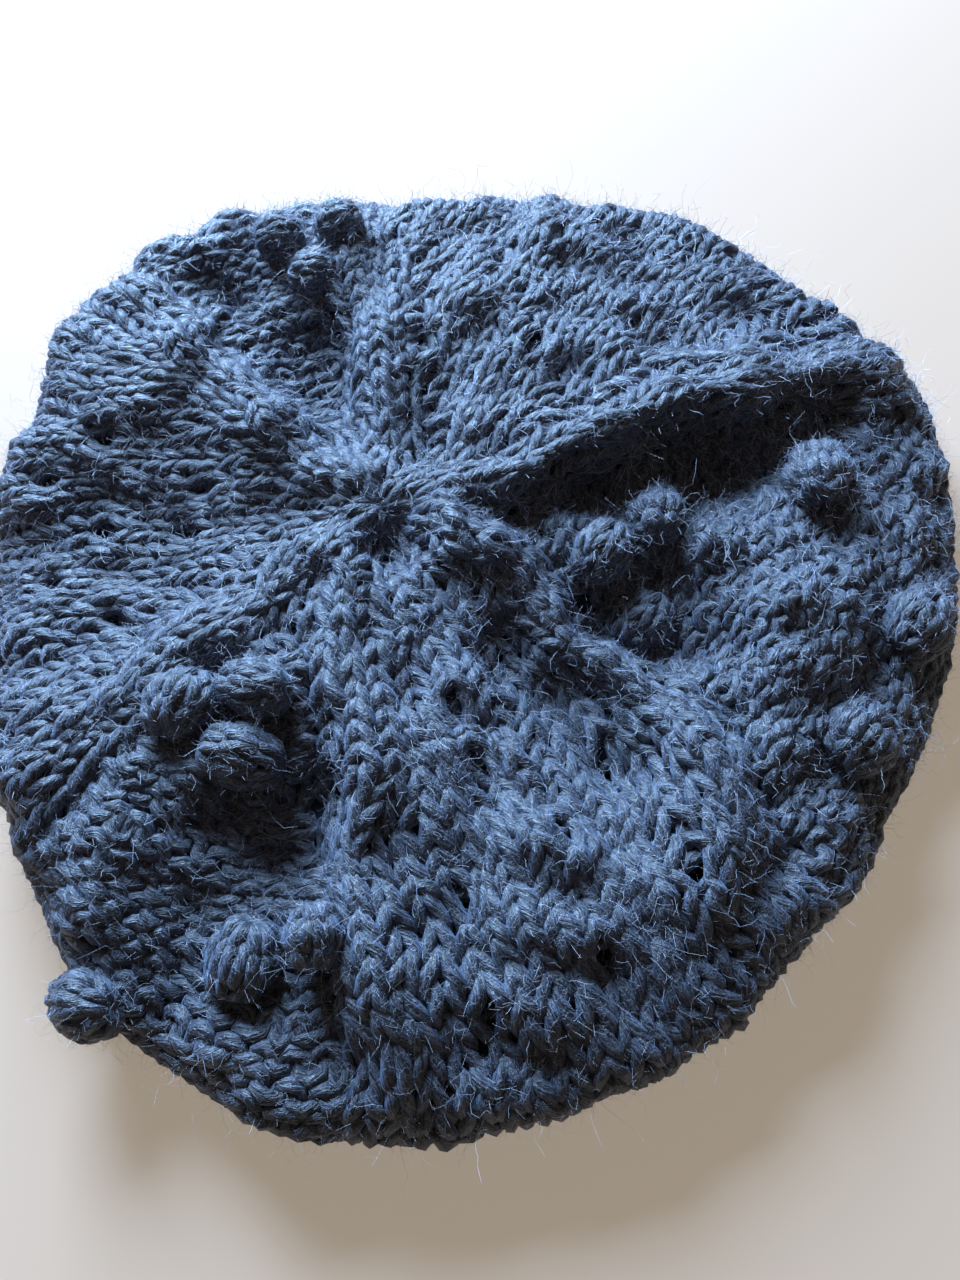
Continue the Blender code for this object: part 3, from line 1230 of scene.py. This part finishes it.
def keep_outward(mesh: Mesh, ways: Array) -> None:
    """Keeps the way out of the hat at each point of a mesh, for its fibres."""
    mesh.attributes.new("outward", "FLOAT_VECTOR", "POINT").data.foreach_set("vector", ways.ravel())


@dataclass
class Skein:
    """Yarn paths gathered for one piece: closed loops of points with their thickness."""

    loops: list[tuple[Array, Array, Array]] = field(default_factory=list)

    def add(self, points: Array, thickness: Array, outward: Array) -> None:
        """Adds a closed loop, in millimetres, with the way out of the hat at each point."""
        self.loops.append((points, thickness, outward))

    def mesh(self, name: str) -> Mesh:
        """Lays the loops out as a mesh of edges in metres.

        Args:
            name: its name.

        Returns:
            The mesh, with the yarn's thickness and the way out at each point.
        """
        points, thickness, outward = (np.concatenate(part) for part in zip(*self.loops))
        edges, first = [], 0
        for loop, _, _ in self.loops:
            index = np.arange(len(loop))
            edges.append(first + np.stack([index, (index + 1) % len(loop)], axis=1))
            first += len(loop)
        made = new_mesh(name, points * MM, np.concatenate(edges), [])
        kept = made.attributes.new("thickness", "FLOAT", "POINT")
        kept.data.foreach_set("value", thickness * MM)
        keep_outward(made, outward)
        return made


@dataclass
class YarnSpinner:
    """Spins yarn round the paths of a skein, with a map that runs along and round it."""

    repeat: float = 26.0  # length of yarn in one repeat of its map
    seam: float = 0.3  # a corner this share of a lap before its face's middle is past the end
    tree: Tree | None = None

    def build(self) -> Tree:
        """Builds the tree that sweeps the yarn.

        Returns:
            The tree.
        """
        tree = Tree.new("spin_yarn", "Sides")
        bench = tree.bench
        path = bench.shape("MeshToCurve", {0: tree.input("Geometry")})
        length = bench.shape("SplineLength", output="Length")
        travelled = bench.shape("SplineParameter", output="Length")
        laps = (length / (self.repeat * MM)).rounded().at_least(1.0)
        path = tree.stored(path, "along", travelled / length * laps)
        path = tree.stored(path, "laps", laps)
        ring = bench.shape("CurvePrimitiveCircle", {"Resolution": tree.input("Sides"), "Radius": 1.0})
        ring = tree.stored(ring, "around", bench.shape("SplineParameter", output="Factor"))
        inputs = {"Curve": path, "Profile Curve": ring, "Scale": tree.named("thickness")}
        yarn = bench.shape("CurveToMesh", inputs)
        along = self.unwrapped(tree, "along", tree.named("laps"))
        tree.finish(tree.mapped(yarn, along, self.unwrapped(tree, "around", 1.0)))
        return tree

    def unwrapped(self, tree: Tree, name: str, whole: Signal | float) -> Signal:
        """Carries a number at face corners past its end, where a loop closes.

        Args:
            tree: the tree.
            name: the number's attribute.
            whole: how much the number grows in the whole loop.

        Returns:
            The number at each corner.
        """
        at = tree.named(name)
        middle = tree.bench.shape("FieldOnDomain", {0: at}, data_type="FLOAT", domain="FACE")
        return at + (at < middle - whole * self.seam) * whole

    def spin(self, name: str, skein: Skein, sides: int, material: Material) -> Object:
        """Makes a piece of yarn.

        Args:
            name: the piece's name.
            skein: the paths.
            sides: flat sides round the yarn.
            material: its finish.

        Returns:
            The piece, as a plain mesh.
        """
        self.tree = self.tree or self.build()
        piece = new_thing(name, skein.mesh(name))
        values = {"Sides": sides, "Material": material}
        self.tree.run(piece, values, ("along", "around", "laps", "thickness"))
        return piece


@dataclass
class KnittedShell:
    """The crown, rim and underside, one piece for each run of rounds."""

    chart: StitchChart
    spinner: YarnSpinner
    finish: WoolFinish
    runs: tuple[tuple[str, int, int], ...] = (
        ("crown_knit_centre", 1, 14),
        ("crown_knit_middle", 15, 21),
        ("crown_knit_outer", 22, 27),
        ("crown_knit_rim", 28, 37),
    )
    sides: int = 6
    path: YarnPath = YarnPath()
    plain_path: YarnPath = YarnPath(steps=8)
    plain_from: int = 31
    middle_height: float = 12.0
    inverse_radius: float = 0.01  # one over the hat's, roughly
    rim_shares: Pair = (0.8, 1.2)  # of that radius, between which the rim begins
    rim_heights: Pair = (4.0, 14.0)  # between which the way out turns from down to up
    seed: int = 11

    def build(self) -> list[Object]:
        """Spins every round.

        Returns:
            The pieces, from the centre outwards.
        """
        dice = np.random.default_rng(self.seed)
        material = self.finish.material()
        pieces = []
        for name, first, last in self.runs:
            skein = Skein()
            for laid in self.chart.rounds[first - 1 : last]:
                path = self.plain_path if laid.course >= self.plain_from else self.path
                points, thickness = path.round_points(self.chart, laid, dice)
                skein.add(points, thickness, self.outward(points))
            pieces.append(self.spinner.spin(name, skein, self.sides, material))
        return pieces

    def outward(self, points: Array) -> Array:
        """Roughly the way out of the shell: up on the crown, sideways round the rim.

        Args:
            points: the yarn's points.

        Returns:
            The ways, each of length 1.
        """
        middle = np.array([*self.chart.form.band_centre, self.middle_height])
        away = (points - middle) * np.array([self.inverse_radius, self.inverse_radius, 0.0])
        away *= smooth_step(*self.rim_shares, np.linalg.norm(away, axis=1))[:, None]
        away[:, 2] = smooth_step(*self.rim_heights, points[:, 2]) * 2.0 - 1.0
        return away / np.linalg.norm(away, axis=1, keepdims=True)


@dataclass
class Lining:
    """A thin skin in the middle of the wall that closes the knitting; its dark mat is painted shade that
    shows between the stitches.
    """

    chart: StitchChart
    finish: LiningFinish
    name: str = "crown_lining"
    columns: int = 132
    rows: int = 56
    depth: float = 3.2
    thickness: float = 0.8
    hole_margin: float = 0.8
    band_gap: float = 2.0  # it ends this far before the band
    centre_reach: float = 0.5

    def build(self) -> Object:
        """Lofts the skin from the crown's centre to the band, with the lace holes left open.

        Returns:
            The piece.
        """
        form = self.chart.form
        angle = np.arange(self.columns) * WHOLE_TURN / self.columns
        angles, shares = np.meshgrid(angle, (np.arange(self.rows) + 1.0) / self.rows)
        reach = shares * (form.whole_reach(angles) - self.band_gap)
        points = form.place(angles.ravel(), reach.ravel(), np.full(reach.size, self.depth))
        centre = form.place(np.zeros(1), np.full(1, self.centre_reach), np.full(1, self.depth))
        points = np.concatenate([points, centre])
        faces = []
        for column in range(self.columns):
            following = (column + 1) % self.columns
            faces.append((len(points) - 1, column, following))
            for row in range(self.rows - 1):
                low, high = row * self.columns, (row + 1) * self.columns
                faces.append((low + column, high + column, high + following, low + following))
        kept = [face for face in faces if not self.in_hole(points[list(face)].mean(axis=0))]
        mesh = new_mesh(self.name, points * MM, [], kept)
        mesh.shade_smooth()
        mesh.materials.append(self.finish.material())
        piece = new_thing(self.name, mesh)
        skin = piece.modifiers.new("skin", "SOLIDIFY")
        skin.thickness = self.thickness * MM
        skin.offset = 0.0
        settle(piece)
        return piece

    def in_hole(self, place: Array) -> bool:
        """Whether a place lies in a lace hole."""
        depth = 2.0 * self.chart.form.wall
        return any(hole.holds(place, self.hole_margin, depth) for hole in self.chart.holes)


@dataclass(frozen=True)
class Bobble:
    """One knob of stitches: its place, its half sizes and how its long side lies."""

    angle: float
    distance: float
    half_length: float
    half_width: float
    turn: float


@dataclass
class Bobbles:
    """The bobbles of the purl panels, each a small ball knitted from the hat's own yarn."""

    form: HatForm
    spinner: YarnSpinner
    finish: WoolFinish
    rows: tuple[Bobble, ...] = (
        Bobble(348, 62, 9.5, 8.0, 60), Bobble(-2, 77, 9.5, 7.5, 80), Bobble(338, 78, 9.5, 8.5, 60),
        Bobble(4, 122, 11.0, 9.0, 70), Bobble(347, 148, 10.5, 9.0, 80), Bobble(332, 140, 10.5, 9.5, 60),
        Bobble(243.5, 62, 9.5, 7.5, 100), Bobble(232, 75, 9.5, 8.5, 0), Bobble(247, 78, 11.0, 8.0, 100),
        Bobble(266, 115, 8.0, 7.0, 0), Bobble(257.5, 122, 10.0, 9.3, 0), Bobble(244, 142, 9.5, 8.5, 90),
        Bobble(105, 86, 8.5, 7.0, 90), Bobble(98.5, 99, 8.0, 7.0, 90), Bobble(110, 101, 8.0, 7.0, 90),
    )
    height: float = 9.5
    gap: float = 0.5  # between the shell and the solid
    cut: float = 0.5  # share of the ball's radius under which it is cut off flat
    thickness: float = 1.9
    rounds: tuple[tuple[float, int], ...] = ((42.0, 5), (90.0, 8), (138.0, 5))  # polar angle, wales
    rise: float = 33.0  # half a loop's height, in degrees
    overhang: float = 0.24
    stand: float = 0.13  # share of the ball's size that a leg stands before its middle
    unevenness: float = 0.1
    lean: float = 25.0  # the most that a ball lies over
    plumpness: float = 0.1
    lowest_way: float = -0.2  # its fibres point down no farther
    steps: int = 12
    sides: int = 7
    seed: int = 23

    def build(self) -> list[Object]:
        """Knits every bobble.

        Returns:
            The pieces, in the order of the CAD's nodes.
        """
        dice = np.random.default_rng(self.seed)
        material = self.finish.material()
        pieces = []
        for number, row in enumerate(self.rows, 1):
            skein = Skein()
            swing = np.radians(dice.uniform(-self.lean, self.lean, 2))
            for polar, wales in self.rounds:
                ball = self.ball_round(polar, wales, dice) @ self.tilt(*swing).T
                points, outward = self.seated(row, ball)
                thickness = self.thickness * (1.0 + self.plumpness * dice.normal(0.0, 1.0, wales))
                skein.add(points, np.repeat(thickness, self.steps), outward)
            pieces.append(self.spinner.spin(f"bobble_knit_{number:02d}", skein, self.sides, material))
        return pieces

    def ball_round(self, polar: float, wales: int, dice: np.random.Generator) -> Array:
        """The yarn of one round of stitches on a ball of radius 1, whose pole is its first axis.

        Args:
            polar: how far the round lies from the pole, in degrees.
            wales: its stitches.
            dice: the hand's unevenness.

        Returns:
            Its points.
        """
        share = np.arange(self.steps)[None] / self.steps
        uneven = dice.normal(0.0, self.unevenness, (3, wales, 1))
        across = np.arange(wales)[:, None] + share
        across = across + (self.overhang + 0.5 * uneven[0]) * np.sin(2.0 * TAU * share)
        spin = across * TAU / wales + dice.uniform(0.0, TAU)
        fall = np.radians(polar - self.rise * (1.0 + uneven[1]) * np.cos(TAU * share))
        far = 1.0 - self.stand * (1.0 + 2.0 * uneven[2]) * np.cos(2.0 * TAU * share)
        ball = np.stack([np.cos(fall), np.sin(fall) * np.cos(spin), np.sin(fall) * np.sin(spin)])
        return (far * ball).reshape(3, -1).T

    def tilt(self, bearing: float, lean: float) -> Array:
        """The turn of a ball on its seat: round it, then over to one side.

        Args:
            bearing: how far round, in radians.
            lean: how far over.

        Returns:
            The turn, as a matrix.
        """
        cos, sin = math.cos(bearing), math.sin(bearing)
        turn = np.array([[cos, -sin, 0.0], [sin, cos, 0.0], [0.0, 0.0, 1.0]])
        cos, sin = math.cos(lean), math.sin(lean)
        return np.array([[cos, 0.0, sin], [0.0, 1.0, 0.0], [-sin, 0.0, cos]]) @ turn

    def seat(self, row: Bobble) -> tuple[Array, Array]:
        """Finds where a bobble sits on the shell.

        Args:
            row: the bobble.

        Returns:
            The place, and the bobble's axes along, across and off the shell.
        """
        edge = float(self.form.edge(row.angle))
        past = min(max(row.distance - edge, 0.0) / self.form.shoulder, 1.0)
        reach = np.array([min(row.distance, edge) + self.form.rim_arc * math.asin(past) / math.pi])
        angle = np.array([float(row.angle)])
        normal = self.form.normal(angle, reach)[0]
        turn, swing = math.radians(row.angle), math.radians(row.turn)
        out = np.array([math.cos(turn), math.sin(turn), 0.0])
        along = out - normal * out.dot(normal)
        along /= np.linalg.norm(along)
        long_side = along * math.cos(swing) + np.cross(normal, along) * math.sin(swing)
        axes = np.stack([long_side, np.cross(normal, long_side), normal])
        return self.form.face(angle, reach)[0], axes

    def seated(self, row: Bobble, ball: Array) -> tuple[Array, Array]:
        """Points of a ball of radius 1 brought to a bobble's size and place.

        Args:
            row: the bobble.
            ball: the points.

        Returns:
            The points on the hat, and the ways out of the bobble there.
        """
        place, axes = self.seat(row)
        half = np.array([row.half_length, row.half_width]) - self.thickness
        rise = (self.height + self.gap - self.thickness) / (1.0 + self.cut)
        height = np.maximum((ball[:, 2] + self.cut) * rise, 0.0)
        points = place + ball[:, :2] * half @ axes[:2] + height[:, None] * axes[2]
        outward = ball[:, :2] @ axes[:2] + np.maximum(ball[:, 2:], self.lowest_way) * axes[2]
        return points, outward / np.linalg.norm(outward, axis=1, keepdims=True)


@dataclass
class BrimBand:
    """The ribbed band, which lies flat inside the edge of the underside."""

    form: HatForm
    spinner: YarnSpinner
    finish: WoolFinish
    name: str = "band_knit"
    rows: int = 6
    wales: int = 96
    rib: int = 2  # wales in a rib, and between two ribs
    first: float = 80.5
    pitch: float = 4.7
    rise: float = 3.5
    overhang: float = 0.2
    middle_height: float = 2.5
    stand: float = 0.95
    thickness: float = 1.45
    steps: int = 8
    sides: int = 5

    def build(self) -> Object:
        """Works the band row by row.

        Returns:
            The piece.
        """
        skein = Skein()
        share = np.arange(self.steps) / self.steps
        wale = np.arange(self.wales)
        front = np.where(wale % (2 * self.rib) < self.rib, 1.0, -1.0)[:, None]
        across = wale[:, None] + share[None] + self.overhang * np.sin(2.0 * TAU * share)[None]
        turn = across.ravel() * TAU / self.wales
        height = self.middle_height - front * self.stand * np.cos(2.0 * TAU * share)[None]
        for row in range(self.rows):
            far = self.first - self.pitch * row + self.rise * np.cos(TAU * share)
            far = np.broadcast_to(far, height.shape).ravel()
            x = self.form.band_centre[0] + far * np.cos(turn)
            y = self.form.band_centre[1] + far * np.sin(turn)
            points = np.stack([x, y, height.ravel()], axis=1)
            down = np.tile([0.0, 0.0, -1.0], (len(points), 1))
            skein.add(points, np.full(len(points), self.thickness), down)
        return self.spinner.spin(self.name, skein, self.sides, self.finish.material())


@dataclass
class FibreHaze:
    """The loose fibres that stand off the yarn all over, as thin curled ribbons."""

    density: float  # fibres to a square metre of yarn
    length: Pair
    curl: float
    points: int
    half_width: float
    seed: int
    fineness: float = 260.0  # of the curl, in waves to a metre
    lift: float = 0.45
    facing: float = -0.2  # fibres that face farther than this into the hat wouldn't show
    lowest: float = 4.0  # nor would those that grow below this height
    floor: float = 0.3
    ceiling: float = 49.0  # no fibre rises higher
    thinning: float = 3.2  # per metre towards the far side, the fibres grow denser and wider, so that the fuzz shows lighter on the side the window lights from behind
    root_width: float = 1.2  # in shares of the half width
    taper: float = 0.7
    whims: float = 50.0  # how different the curls are
    tree: Tree | None = None

    def build_tree(self) -> Tree:
        """Builds the tree that grows fibres on a surface.

        Returns:
            The tree.
        """
        tree = Tree.new("grow_fibres", "Seed")
        tree.finish(self.flattened(tree, self.curled(tree, self.planted(tree))))
        return tree

    def planted(self, tree: Tree) -> Signal:
        """Plants straight fibres on the tree's surface, which lean off it.

        Args:
            tree: the tree.

        Returns:
            The fibres, as edges.
        """
        bench, seed = tree.bench, tree.input("Seed")
        normal = bench.shape("InputNormal", output="Normal")
        outward = tree.named("outward", "FLOAT_VECTOR")
        _, farther, height = bench.parts(bench.shape("InputPosition"))
        shown = (bench.dot(normal, outward) > self.facing) * (height > self.lowest * MM)
        # More and wider fibres towards the far side, so that their painted light shows more there.
        stout = farther * self.thinning + 1.0
        inputs = {"Mesh": tree.input("Geometry"), "Selection": shown,
                  "Density": stout * self.density, "Seed": seed}
        scattered = bench.node("GeometryNodeDistributePointsOnFaces", inputs)
        roots, off = (Signal(bench, output) for output in scattered.outputs[:2])
        # A way along the surface at random, lifted off it a little.
        any_way = bench.chance("FLOAT_VECTOR", seed + 1.0, (-1.0, -1.0, -1.0), (1.0, 1.0, 1.0))
        flat = bench.vector_maths("SUBTRACT", any_way, bench.scaled(off, bench.dot(any_way, off)))
        flat = bench.vector_maths("NORMALIZE", flat)
        way = bench.vector_maths("ADD", flat, bench.scaled(off, self.lift))
        turned = bench.node("FunctionNodeAlignRotationToVector", {"Vector": way}, axis="X")
        size = bench.chance("FLOAT", seed + 2.0, self.length[0] * MM, self.length[1] * MM)
        roots = tree.stored(roots, "whim", bench.chance("FLOAT", seed + 3.0, 0.0, self.whims))
        roots = tree.stored(roots, "stout", stout)
        inputs = {"Count": self.points, "Offset": (1.0, 0.0, 0.0)}
        line = bench.shape("MeshLine", inputs, mode="END_POINTS")
        line = tree.stored(line, "grown", bench.parts(bench.shape("InputPosition"))[0])
        inputs = {"Points": roots, "Instance": line, "Scale": bench.joined(size, size, size),
                  "Rotation": Signal(bench, turned.outputs[0])}
        return bench.shape("RealizeInstances", {0: bench.shape("InstanceOnPoints", inputs)})

    def curled(self, tree: Tree, fibres: Signal) -> Signal:
        """Bends fibres by a noise of their own, more towards their tips.

        Args:
            tree: the tree.
            fibres: the fibres.

        Returns:
            The fibres, which stay off the floor and under the ceiling.
        """
        bench = tree.bench
        inputs = {"Vector": bench.shape("InputPosition"), "W": tree.named("whim"),
                  "Scale": self.fineness, "Detail": 0.3}
        noise = bench.shader("TexNoise", inputs, "Color", noise_dimensions="4D")
        bend = bench.vector_maths("SUBTRACT", noise, (0.5, 0.5, 0.5))
        bend = bench.scaled(bend, tree.named("grown") * (2.0 * self.curl * MM))
        fibres = bench.shape("SetPosition", {"Geometry": fibres, "Offset": bend})
        place = bench.shape("InputPosition")
        place = bench.vector_maths("MAXIMUM", place, (-FAR_OFF, -FAR_OFF, self.floor * MM))
        place = bench.vector_maths("MINIMUM", place, (FAR_OFF, FAR_OFF, self.ceiling * MM))
        return bench.shape("SetPosition", {"Geometry": fibres, "Position": place})

    def flattened(self, tree: Tree, fibres: Signal) -> Signal:
        """Makes flat ribbons of fibres, each turned its own way and narrower at its tip.

        Args:
            tree: the tree.
            fibres: the fibres.

        Returns:
            The ribbons, with their map.
        """
        bench = tree.bench
        path = bench.shape("MeshToCurve", {0: fibres})
        path = bench.shape("SetCurveTilt", {"Curve": path, "Tilt": tree.named("whim")})
        inputs = {"Start": (-1.0, 0.0, 0.0), "End": (1.0, 0.0, 0.0)}
        blade = bench.shape("CurvePrimitiveLine", inputs)
        blade = tree.stored(blade, "side", bench.shape("SplineParameter", output="Factor"))
        width = tree.named("stout") * (self.half_width * MM)
        width = width * (self.root_width - tree.named("grown") * self.taper)
        blades = bench.shape("CurveToMesh", {"Curve": path, "Profile Curve": blade, "Scale": width})
        return tree.mapped(blades, tree.named("grown"), tree.named("side"))

    def grow(self, name: str, roots: list[Object], number: int, material: Material) -> Object:
        """Grows the fibres of some pieces of yarn as one piece.

        Args:
            name: the new piece's name.
            roots: the pieces that they grow on.
            number: the piece's number, which sets it apart from the others.
            material: their finish.

        Returns:
            The piece, as a plain mesh.
        """
        self.tree = self.tree or self.build_tree()
        piece = new_thing(name, joined_copy(name, roots))
        values = {"Seed": self.seed + number, "Material": material}
        self.tree.run(piece, values, ("whim", "stout", "grown", "side", "outward"))
        return piece


def joined_copy(name: str, things: list[Object]) -> Mesh:
    """Joins several pieces' faces in one mesh.

    Args:
        name: the mesh's name.
        things: the pieces, which stay as they are.

    Returns:
        The mesh, with the way out of the hat at each point.
    """
    points, faces, outward, first = [], [], [], 0
    for mesh in (thing.data for thing in things):
        here, way = np.empty((2, len(mesh.vertices) * 3), np.float32)
        mesh.vertices.foreach_get("co", here)
        mesh.attributes["outward"].data.foreach_get("vector", way)
        corners = np.empty(len(mesh.loops), np.int32)
        mesh.loops.foreach_get("vertex_index", corners)
        points.append(here.reshape(-1, 3))
        outward.append(way)
        faces.append(corners.reshape(-1, 4) + first)
        first += len(mesh.vertices)
    made = new_mesh(name, np.concatenate(points), [], np.concatenate(faces).tolist())
    keep_outward(made, np.concatenate(outward))
    return made


@dataclass(frozen=True)
class Studio:
    """The camera, the soft light from a window beyond the hat, and the pale floor, which glows a little
    as painted light.
    """

    camera_place: Triple = (0.0012, -0.1253, 0.2745)
    camera_tilt: float = 23.0
    frame_height: float = 36.0
    lens: float = 29.109375
    floor_size: float = 4.0
    floor_colour: Triple = (0.42, 0.29, 0.22)
    floor_roughness: float = 0.7
    floor_gloss: float = 0.2
    floor_glow: Triple = (0.30, 0.26, 0.21)  # painted light: the floor glows to fill the hat's shadow
    shaded_radius: float = 0.1  # the floor within this is under the hat, and stays dark
    window_place: Triple = (-0.37, 0.91, 0.5)
    window_aim: Triple = (0.0, 0.0, 0.02)
    window_size: float = 0.6
    window_power: float = 71.0
    window_colour: Triple = (0.415, 0.665, 1.0)
    room_colour: Triple = (0.112, 0.098, 0.08)

    def build(self) -> None:
        """Sets up the camera, the floor and the lights."""
        self.set_camera()
        self.lay_floor()
        self.light()

    def set_camera(self) -> None:
        """Looks down at the hat from its near side."""
        lens = bpy.data.cameras.new("camera")
        lens.sensor_fit = "VERTICAL"
        lens.sensor_height = self.frame_height
        lens.lens = self.lens
        lens.clip_start = 0.01
        camera = new_thing("camera", lens)
        camera.location = self.camera_place
        camera.rotation_euler = (math.radians(self.camera_tilt), 0.0, 0.0)
        bpy.context.scene.camera = camera

    def lay_floor(self) -> None:
        """Lays a pale floor just under the hat, which glows a little as painted light."""
        half = 0.5 * self.floor_size
        corners = [(-half, -half, 0.0), (half, -half, 0.0), (half, half, 0.0), (-half, half, 0.0)]
        mesh = new_mesh("floor", corners, [], [(0, 1, 2, 3)])
        mesh.materials.append(new_material("pale_floor", self.paint_floor))
        new_thing("floor", mesh)

    def paint_floor(self, bench: Bench) -> dict:
        """Paints the floor, which glows a little except under the hat: painted light that fills the
        hat's shadow.

        Args:
            bench: the tree to fill.

        Returns:
            What goes into the floor's shader.
        """
        place = bench.shader("TexCoord", output="Object")
        # Painted light: the floor glows everywhere but right under the hat, filling the hat's cast
        # shadow.
        clear = bench.vector_maths("LENGTH", place, output="Value") > self.shaded_radius
        glow = bench.mix_colour(clear, (0.0, 0.0, 0.0), self.floor_glow)
        return {"Base Color": (*self.floor_colour, 1.0), "Roughness": self.floor_roughness,
                "Specular IOR Level": self.floor_gloss, "Emission Color": glow,
                "Emission Strength": 1.0}

    def light(self) -> None:
        """A large cool window beyond the hat on the left, and a dim warm room."""
        window = bpy.data.lights.new("window", "AREA")
        window.shape = "SQUARE"
        window.size = self.window_size
        window.energy = self.window_power
        window.color = self.window_colour
        lamp = new_thing("window", window)
        lamp.location = self.window_place
        toward = Vector(self.window_aim) - lamp.location
        lamp.rotation_euler = toward.to_track_quat("-Z", "Y").to_euler()
        world = bpy.data.worlds.new("room")
        world.use_nodes = True
        sky = world.node_tree.nodes["Background"]
        sky.inputs["Color"].default_value = (*self.room_colour, 1.0)
        bpy.context.scene.world = world
        bpy.context.scene.view_settings.view_transform = "Standard"


def fit(piece: Object, slot: str, *nodes: str) -> None:
    """Attaches a finished piece to the body, hides the CAD nodes that it stands for, and logs it.

    Args:
        piece: the piece.
        slot: the name of its slot, which is only logged.
        nodes: the CAD nodes that it stands for.
    """
    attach(piece, BODY)
    if nodes:
        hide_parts(*nodes)
    triangles = sum(len(face.vertices) - 2 for face in piece.data.polygons)
    LOG.info("%s: %d triangles, slot %s", piece.name, triangles, slot)


def main() -> None:
    """Builds the hat, its fibres and the studio, and reports every piece."""
    logging.basicConfig(level=logging.INFO, format="%(message)s")
    Studio().build()
    form = HatForm()
    chart = StitchChart(form)
    chart.work()
    spinner = YarnSpinner()
    shell = KnittedShell(chart, spinner, WoolFinish(name="crown_wool")).build()
    for piece in shell:
        fit(piece, "crown_knit", "crown")
    # The lining's dark colour is painted shade between the stitches.
    fit(Lining(chart, LiningFinish(name="lining_painted_shade")).build(), "crown_knit", "crown")
    knobs = Bobbles(form, spinner, WoolFinish(name="bobble_wool")).build()
    for number, piece in enumerate(knobs, 1):
        fit(piece, "bobble_knit", f"bobble_{number:02d}")
    band = BrimBand(form, spinner, WoolFinish(name="band_wool")).build()
    fit(band, "band_knit", "brim_band")
    # The fibres' light colours are painted light, for the light that shines through them.
    short = FibreFinish(name="short_fibre", colour=(0.57, 0.57, 0.67)).material()
    long = FibreFinish(name="long_fibre", colour=(0.64, 0.65, 0.76)).material()
    fuzz = FibreHaze(195000.0, (1.4, 4.2), curl=3.5, points=3, half_width=0.042, seed=5)
    strays = FibreHaze(20000.0, (5.0, 12.0), curl=9.0, points=8, half_width=0.034, seed=15)
    beds = {"centre": shell[:1] + knobs[:3], "middle": shell[1:2] + knobs[3:],
            "outer": shell[2:3], "rim": shell[3:]}
    for number, (where, bed) in enumerate(beds.items()):
        fit(fuzz.grow(f"fibre_fuzz_{where}", bed, number, short), "crown_knit")
        fit(strays.grow(f"fibre_strays_{where}", bed, number, long), "crown_knit")
    for piece in (*shell, *knobs, band):
        piece.data.attributes.remove(piece.data.attributes["outward"])


if __name__ == "__main__":
    main()
